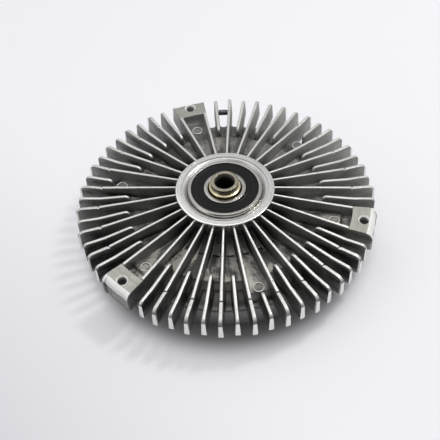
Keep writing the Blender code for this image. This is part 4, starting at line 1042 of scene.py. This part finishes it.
def build_bearing():
    """The bearing's rings, seals and balls."""
    low, top = BEARING_LOW / MM, BEARING_TOP / MM
    inner = [(8.8, low + 0.6, 0.3), (9.4, low, 0.3), (11.8, low, 0.2), *race(11.8), (11.8, top, 0.3),
             (9.7, top, 0.3), (8.8, top - 1.4, 0.3)]
    ring = turned_piece("inner_ring", inner, "shaft", "bearing_steel", "bearing_inner_ring", BEARING)
    # The inner ring's bore and chamfers take the dark steel as painted shade in the gap by the shaft.
    shade_within(ring, 9.6 * MM, DARK)
    outer = [(18.9, low, 0.2), (20.4, low, 0.3), (21.0, low + 0.6, 0.3), (21.0, top - 0.6, 0.3),
             (20.4, top, 0.3), (18.9, top, 0.2), *race(18.9)[::-1]]
    turned_piece("outer_ring", outer, "housing", "bearing_steel", "bearing_outer_ring", BEARING)
    profile = ((12.1, 0, 0.15), (12.9, 0, 0.15), (13.3, 0.22, 0.12), (14.2, 0.22, 0.1), (14.35, 0.10, 0.1),
               (14.75, 0.10, 0.1), (14.9, 0.24, 0.1), (17.3, 0.20, 0.15), (17.7, 0, 0.15), (18.6, 0, 0.15))
    for name, face, way in (("rear", top - 0.3, -1), ("front", low + 0.3, 1)):
        points = [(r, face + way * deep, corner) for r, deep, corner in profile]
        points += [(18.6, face + way * 0.8), (12.1, face + way * 0.8)]
        turned_piece(f"seal_{name}", points, "housing", "seal_rubber", f"bearing_seal_{name}", RUBBER, steps=3)
    ball = bmesh.new()
    bmesh.ops.create_icosphere(ball, subdivisions=4, radius=BALL_RADIUS)
    bmesh.ops.translate(ball, verts=ball.verts, vec=(BALL_CIRCLE, 0, BALL_Z))
    balls = ring_of_copies("balls", to_object("ball", ball), BALL_COUNT, 0.0, TURN / BALL_COUNT, BEARING)
    names = [f"bearing_ball_{i + 1}" for i in range(BALL_COUNT)]
    dress(balls, "ball_cage", "bearing_steel", *names, finish=BEARING)


def build_shaft():
    """The hollow shaft: bolt seat, sleeve, rotor seat, collar, bearing seat, bead and neck."""
    points = [
        (8.2, 3.9, 0.2), (9.6, 3.9, 0.3), (9.6, 13.4), (8.6, 13.4), (8.6, 15.0), (10.0, 15.0), (10.0, 21.5),
        (13.0, 21.5, 0.3), (13.0, 26.3, 0.3), (8.5, 26.3), (8.5, 39.9), (8.8, 39.9, 0.2), (8.8, 40.75, 0.35),
        (7.8, 41.1, 0.3), (7.8, 44.7, 0.3), (5.8, 44.7, 0.25), (5.8, 10.7, 0.3), (8.2, 10.7, 0.2),
    ]
    shaft = turned_piece("shaft", points, "shaft", "plated_steel", "drive_shaft", ZINC)
    shade_within(shaft, 5.95 * MM, BORE)


def build_small_turned():
    """Pieces that are turned or moulded round an axis of their own."""
    section = arc((65.45 * MM, COVER_FLOOR + 2 * MM), 0.55 * MM, 0, 360, 16)[:-1]
    dress(turned("o_ring", section), "housing", "seal_rubber", "cover_o_ring", finish=RUBBER)
    seal = [(10.5, 6.1, 0.15), (12.0, 6.1, 0.15), (12.0, 11.1, 0.15), (11.4, 11.1, 0.15), (11.4, 6.7, 0.2),
            (11.1, 6.7, 0.1), (10.5, 10.5, 0.1), (9.9, 10.5, 0.1)]
    turned_piece("lip_seal", seal, "housing", "seal_rubber", "front_shaft_seal", RUBBER, 96, steps=3)
    at = (VALVE_X, 0.0)
    pin = [(0, 4.2), (1.5, 4.2, 0.5), (1.5, 11.9, 0.2), (0, 11.9)]
    turned_piece("valve_pin", pin, "pin", "bearing_steel", "control_pin", BEARING, SMALL_ROUND, at)
    bush = [(1.8, 5.0, 0.15), (3.2, 5.0, 0.2), (3.2, 8.3), (4.2, 8.3, 0.15), (4.2, 9.1, 0.2), (1.8, 9.1, 0.15)]
    turned_piece("guide_bush", bush, "housing", "plated_steel", "pin_bush", ZINC, SMALL_ROUND, at)
    rivet = [(0, 1.8), (0.9, 1.85, 0.3), (1.65, 2.15, 0.3), (1.8, 2.6, 0.1), (0.9, 2.6), (0.9, 6.3, 0.2),
             (0, 6.3)]
    for i, x in enumerate(STRIP_RIVETS):
        turned_piece(f"rivet_{i + 1}", rivet, "housing", "sheet_steel", f"strip_rivet_{i + 1}", SHEET, 32,
                     (x, STRIP_Y), 3)
    rivet = [(0, 11.1), (1.5, 11.1, 0.3), (1.8, 11.9, 0.1), (0.9, 11.9), (0.9, 14.3, 0.1), (0, 14.3)]
    turned_piece("lever_rivet_round", rivet, "housing", "sheet_steel", "lever_rivet", SHEET, 32,
                 (VALVE_X, LEVER_RIVET_Y), 3)


def build_rotor():
    """The rotor disc with its shear rings and fluid holes."""
    points = [(10.3, 15.0, 0.2), (57.5, 15.0, 0.2), (57.5, 17.0, 0.2), (49.8, 17.0, 0.4), (49.8, 22.4, 0.15)]
    for k in range(4):
        centre = 49.0 - 4.0 * k
        if k:
            points += [(centre + 0.8, 17.8, 0.2), (centre + 0.8, 22.4, 0.15)]
        points += [(centre - 0.8, 22.4, 0.15), (centre - 0.8, 17.8, 0.2)]
    points += [(16.0, 17.8, 0.6), (16.0, 21.2, 0.3), (10.3, 21.2, 0.3)]
    rotor = turned("rotor", outline_mm(points, 2))
    hole = turned("rotor_hole", rod_outline(2.4, 14, 19), SMALL_ROUND, (23.5 * MM, 0))
    holes = ring_of_copies("rotor_holes", hole, 6, TURN / 12, TURN / 6, ROTOR)
    boolean(rotor, holes, "DIFFERENCE")
    dress(rotor, "shaft", "turned_aluminium", "rotor_disc", finish=ROTOR)


def softened_copy(name, cad_name, body, slot, width, finish):
    """A CAD solid with its edges rounded."""
    bm = bmesh.new()
    bm.from_mesh(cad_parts[cad_name].data)
    bmesh.ops.remove_doubles(bm, verts=bm.verts, dist=1e-6)
    bmesh.ops.dissolve_limit(bm, angle_limit=math.radians(1.0), verts=bm.verts, edges=bm.edges)
    obj = to_object(name, bm)
    bevel(obj, width)
    dress(obj, body, slot, cad_name, finish=finish)


def build_flat_pieces():
    """Stamped and cut pieces, with the edges that tumbling leaves."""
    for name, cad_name, body, slot, width, finish in (
        ("strip", "bimetal_strip", "strip", "bimetal", 0.22, BIMETAL),
        ("lever", "valve_lever", "lever", "sheet_steel", 0.15, SHEET),
        ("block", "pump_block", "housing", "sheet_steel", 0.2, SHEET),
        ("clip", "rotor_clip", "shaft", "dark_steel", 0.12, DARK),
        ("cage", "bearing_cage", "ball_cage", "sheet_steel", 0.1, SHEET),
    ):
        softened_copy(name, cad_name, body, slot, width * MM, finish)


def build_balance_pin():
    """The slit roll pin between two fins, its ends chamfered."""
    radius, wall = 1.7 * MM, 0.6 * MM
    slit = 18.0
    centre = Vector((75.6 * MM, 26.4 * MM))
    low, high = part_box("balance_pin")
    length = (high - low).length
    loop = arc((0, 0), radius, slit, 360 - slit, 36) + arc((0, 0), radius - wall, 360 - slit, slit, 36)
    turn = Matrix.Rotation(8.75 * FIN_PITCH, 3, "Z")
    half = 0.5 * min(length, 5.6 * MM)
    rings = []
    for y, share in ((-half, 0.82), (-half + 0.3 * MM, 1.0), (half - 0.3 * MM, 1.0), (half, 0.82)):
        ring = []
        for x, z in loop:
            k = share if math.hypot(x, z) > radius - 0.5 * wall else 1.0
            ring.append(turn @ Vector((centre.x + x * k, y, centre.y + z * k)))
        rings.append(ring)
    dress(skinned("roll_pin", rings), "housing", "dark_steel", "balance_pin", finish=DARK)


def finish_separator_plate():
    """The one CAD solid that stays gets a finish of its own."""
    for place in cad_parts["separator_plate"].material_slots:
        place.material = SHEET


# Floor, light and camera

CAMERA_AZIMUTH = math.radians(16.63)
CAMERA_DISTANCE = 493.97 * MM
CAMERA_ELEVATION = math.radians(49.5)
CAMERA_ROLL = -0.06
AIM_HEIGHT = 28.2 * MM
SHIFT_RIGHT = -3.13 * MM
SHIFT_UP = -10.89 * MM
FOCAL_LENGTH_PIXELS = 871.25
PICTURE_PIXELS = 440
SENSOR_WIDTH = 36.0
DARK_ELEVATION = math.radians(38)
DARK_EDGE_OUT = 0.45
DARK_EDGE_IN = 0.85
WALL_COLOUR = (0.66, 0.66, 0.675)
DARK_COLOUR = (0.11, 0.11, 0.115)


def from_camera_side(right, away, up):
    """A place given as seen from the camera: to the right, away from it and up."""
    return Matrix.Rotation(CAMERA_AZIMUTH, 3, "Z") @ Vector((right, away, up))


def build_floor():
    """A wide pale floor, with painted shade towards the camera's left and under the object, which glows away from
    the object for camera and mirrored rays as painted light that lightens its shadow.
    """
    paint = Finish("floor_paper", 0.0)
    paper = paint.mix(paint.noise(paint.place, 1.2, 1.0), (0.545, 0.545, 0.565), (0.575, 0.575, 0.585))
    corner = from_camera_side(-0.8, -0.6, 0.0)
    shaded = paint.rise(paint.vector("DOT_PRODUCT", paint.place, corner), 0.03, 0.24)
    paper = paint.mix(shaded, paper, (0.30, 0.30, 0.325))
    radius = paint.radius()
    # Painted shade: the paper is darker under the object.
    shade_under_object = paint.fall(radius, 70.0 * MM, 84.0 * MM)
    paint.give("Base Color", paint.mix(shade_under_object, paper, (0.36, 0.36, 0.365)))
    seen = paint.add("LightPath").outputs
    mirrored = paint.plus(seen["Is Glossy Ray"], seen["Is Transmission Ray"])
    direct = paint.plus(seen["Is Camera Ray"], mirrored, clamp=True)
    # Painted light: away from the object the floor glows for camera and mirrored rays, which lightens its shadow.
    painted_glow = paint.times(paint.rise(radius, 72.0 * MM, 90.0 * MM), direct)
    paint.give("Emission Color", paint.mix(painted_glow, (0.0, 0.0, 0.0), (0.325, 0.325, 0.34)))
    paint.give("Emission Strength", 1.0)
    paint.give("Roughness", 0.85)
    bm = bmesh.new()
    bmesh.ops.create_grid(bm, x_segments=1, y_segments=1, size=3.0)
    floor = to_object("floor", bm)
    floor.data.materials.append(paint.material)


def add_softbox(name, place, target, size, power, colour=(1.0, 1.0, 1.0)):
    """A square studio light."""
    lamp = bpy.data.lights.new(name, "AREA")
    lamp.shape = "RECTANGLE"
    lamp.size, lamp.size_y = size
    lamp.energy = power
    lamp.color = colour
    obj = bpy.data.objects.new(name, lamp)
    obj.location = place
    obj.rotation_euler = (Vector(target) - Vector(place)).to_track_quat("-Z", "Y").to_euler()
    bpy.context.scene.collection.objects.link(obj)


def build_world():
    """Pale studio walls, with the dark part of the room behind and above the camera."""
    world = bpy.data.worlds.new("studio")
    bpy.context.scene.world = world
    world.use_nodes = True
    wires = Shading(world.node_tree)
    behind = from_camera_side(0.0, -math.cos(DARK_ELEVATION), math.sin(DARK_ELEVATION))
    towards = wires.vector("DOT_PRODUCT", wires.coordinates["Generated"], behind)
    share = wires.rise(towards, DARK_EDGE_OUT, DARK_EDGE_IN)
    wires.results = wires.tree.nodes["Background"].inputs
    wires.give("Color", wires.mix(share, WALL_COLOUR, DARK_COLOUR))


def build_lights():
    """A small key light at the upper right behind the object, a wide soft one overhead and one at the left."""
    centre = (0, 0, 0.03)
    add_softbox("key_softbox", from_camera_side(0.45, 0.20, 0.85), centre, (0.14, 0.14), 2.7, (1.0, 0.99, 0.96))
    add_softbox("top_softbox", from_camera_side(0.05, 0.06, 1.15), centre, (1.8, 1.2), 5.3)
    add_softbox("side_softbox", from_camera_side(-0.75, -0.35, 0.45), centre, (0.5, 0.5), 1.0)


def build_camera():
    """The camera of the photograph, fitted to the fins."""
    forward = Vector((0, math.cos(CAMERA_ELEVATION), -math.sin(CAMERA_ELEVATION)))
    flat = Vector((1, 0, 0))
    high = flat.cross(forward)
    right = math.cos(CAMERA_ROLL) * flat + math.sin(CAMERA_ROLL) * high
    up = -math.sin(CAMERA_ROLL) * flat + math.cos(CAMERA_ROLL) * high
    place = -CAMERA_DISTANCE * forward + SHIFT_RIGHT * right + SHIFT_UP * up
    axes = Matrix((right, up, -forward)).transposed().to_4x4()
    camera = bpy.data.objects.new("camera", bpy.data.cameras.new("camera"))
    camera.data.lens = FOCAL_LENGTH_PIXELS / PICTURE_PIXELS * SENSOR_WIDTH
    camera.data.sensor_width = SENSOR_WIDTH
    camera.data.clip_start = 0.01
    turn = Matrix.Rotation(CAMERA_AZIMUTH, 4, "Z")
    camera.matrix_world = Matrix.Translation((0, 0, AIM_HEIGHT)) @ turn @ Matrix.Translation(place) @ axes
    bpy.context.scene.collection.objects.link(camera)
    bpy.context.scene.camera = camera


bpy.context.scene.view_settings.view_transform = "Standard"
build_casting()
build_cover()
build_bearing()
build_shaft()
build_small_turned()
build_rotor()
build_flat_pieces()
build_balance_pin()
finish_separator_plate()
build_floor()
build_world()
build_lights()
build_camera()
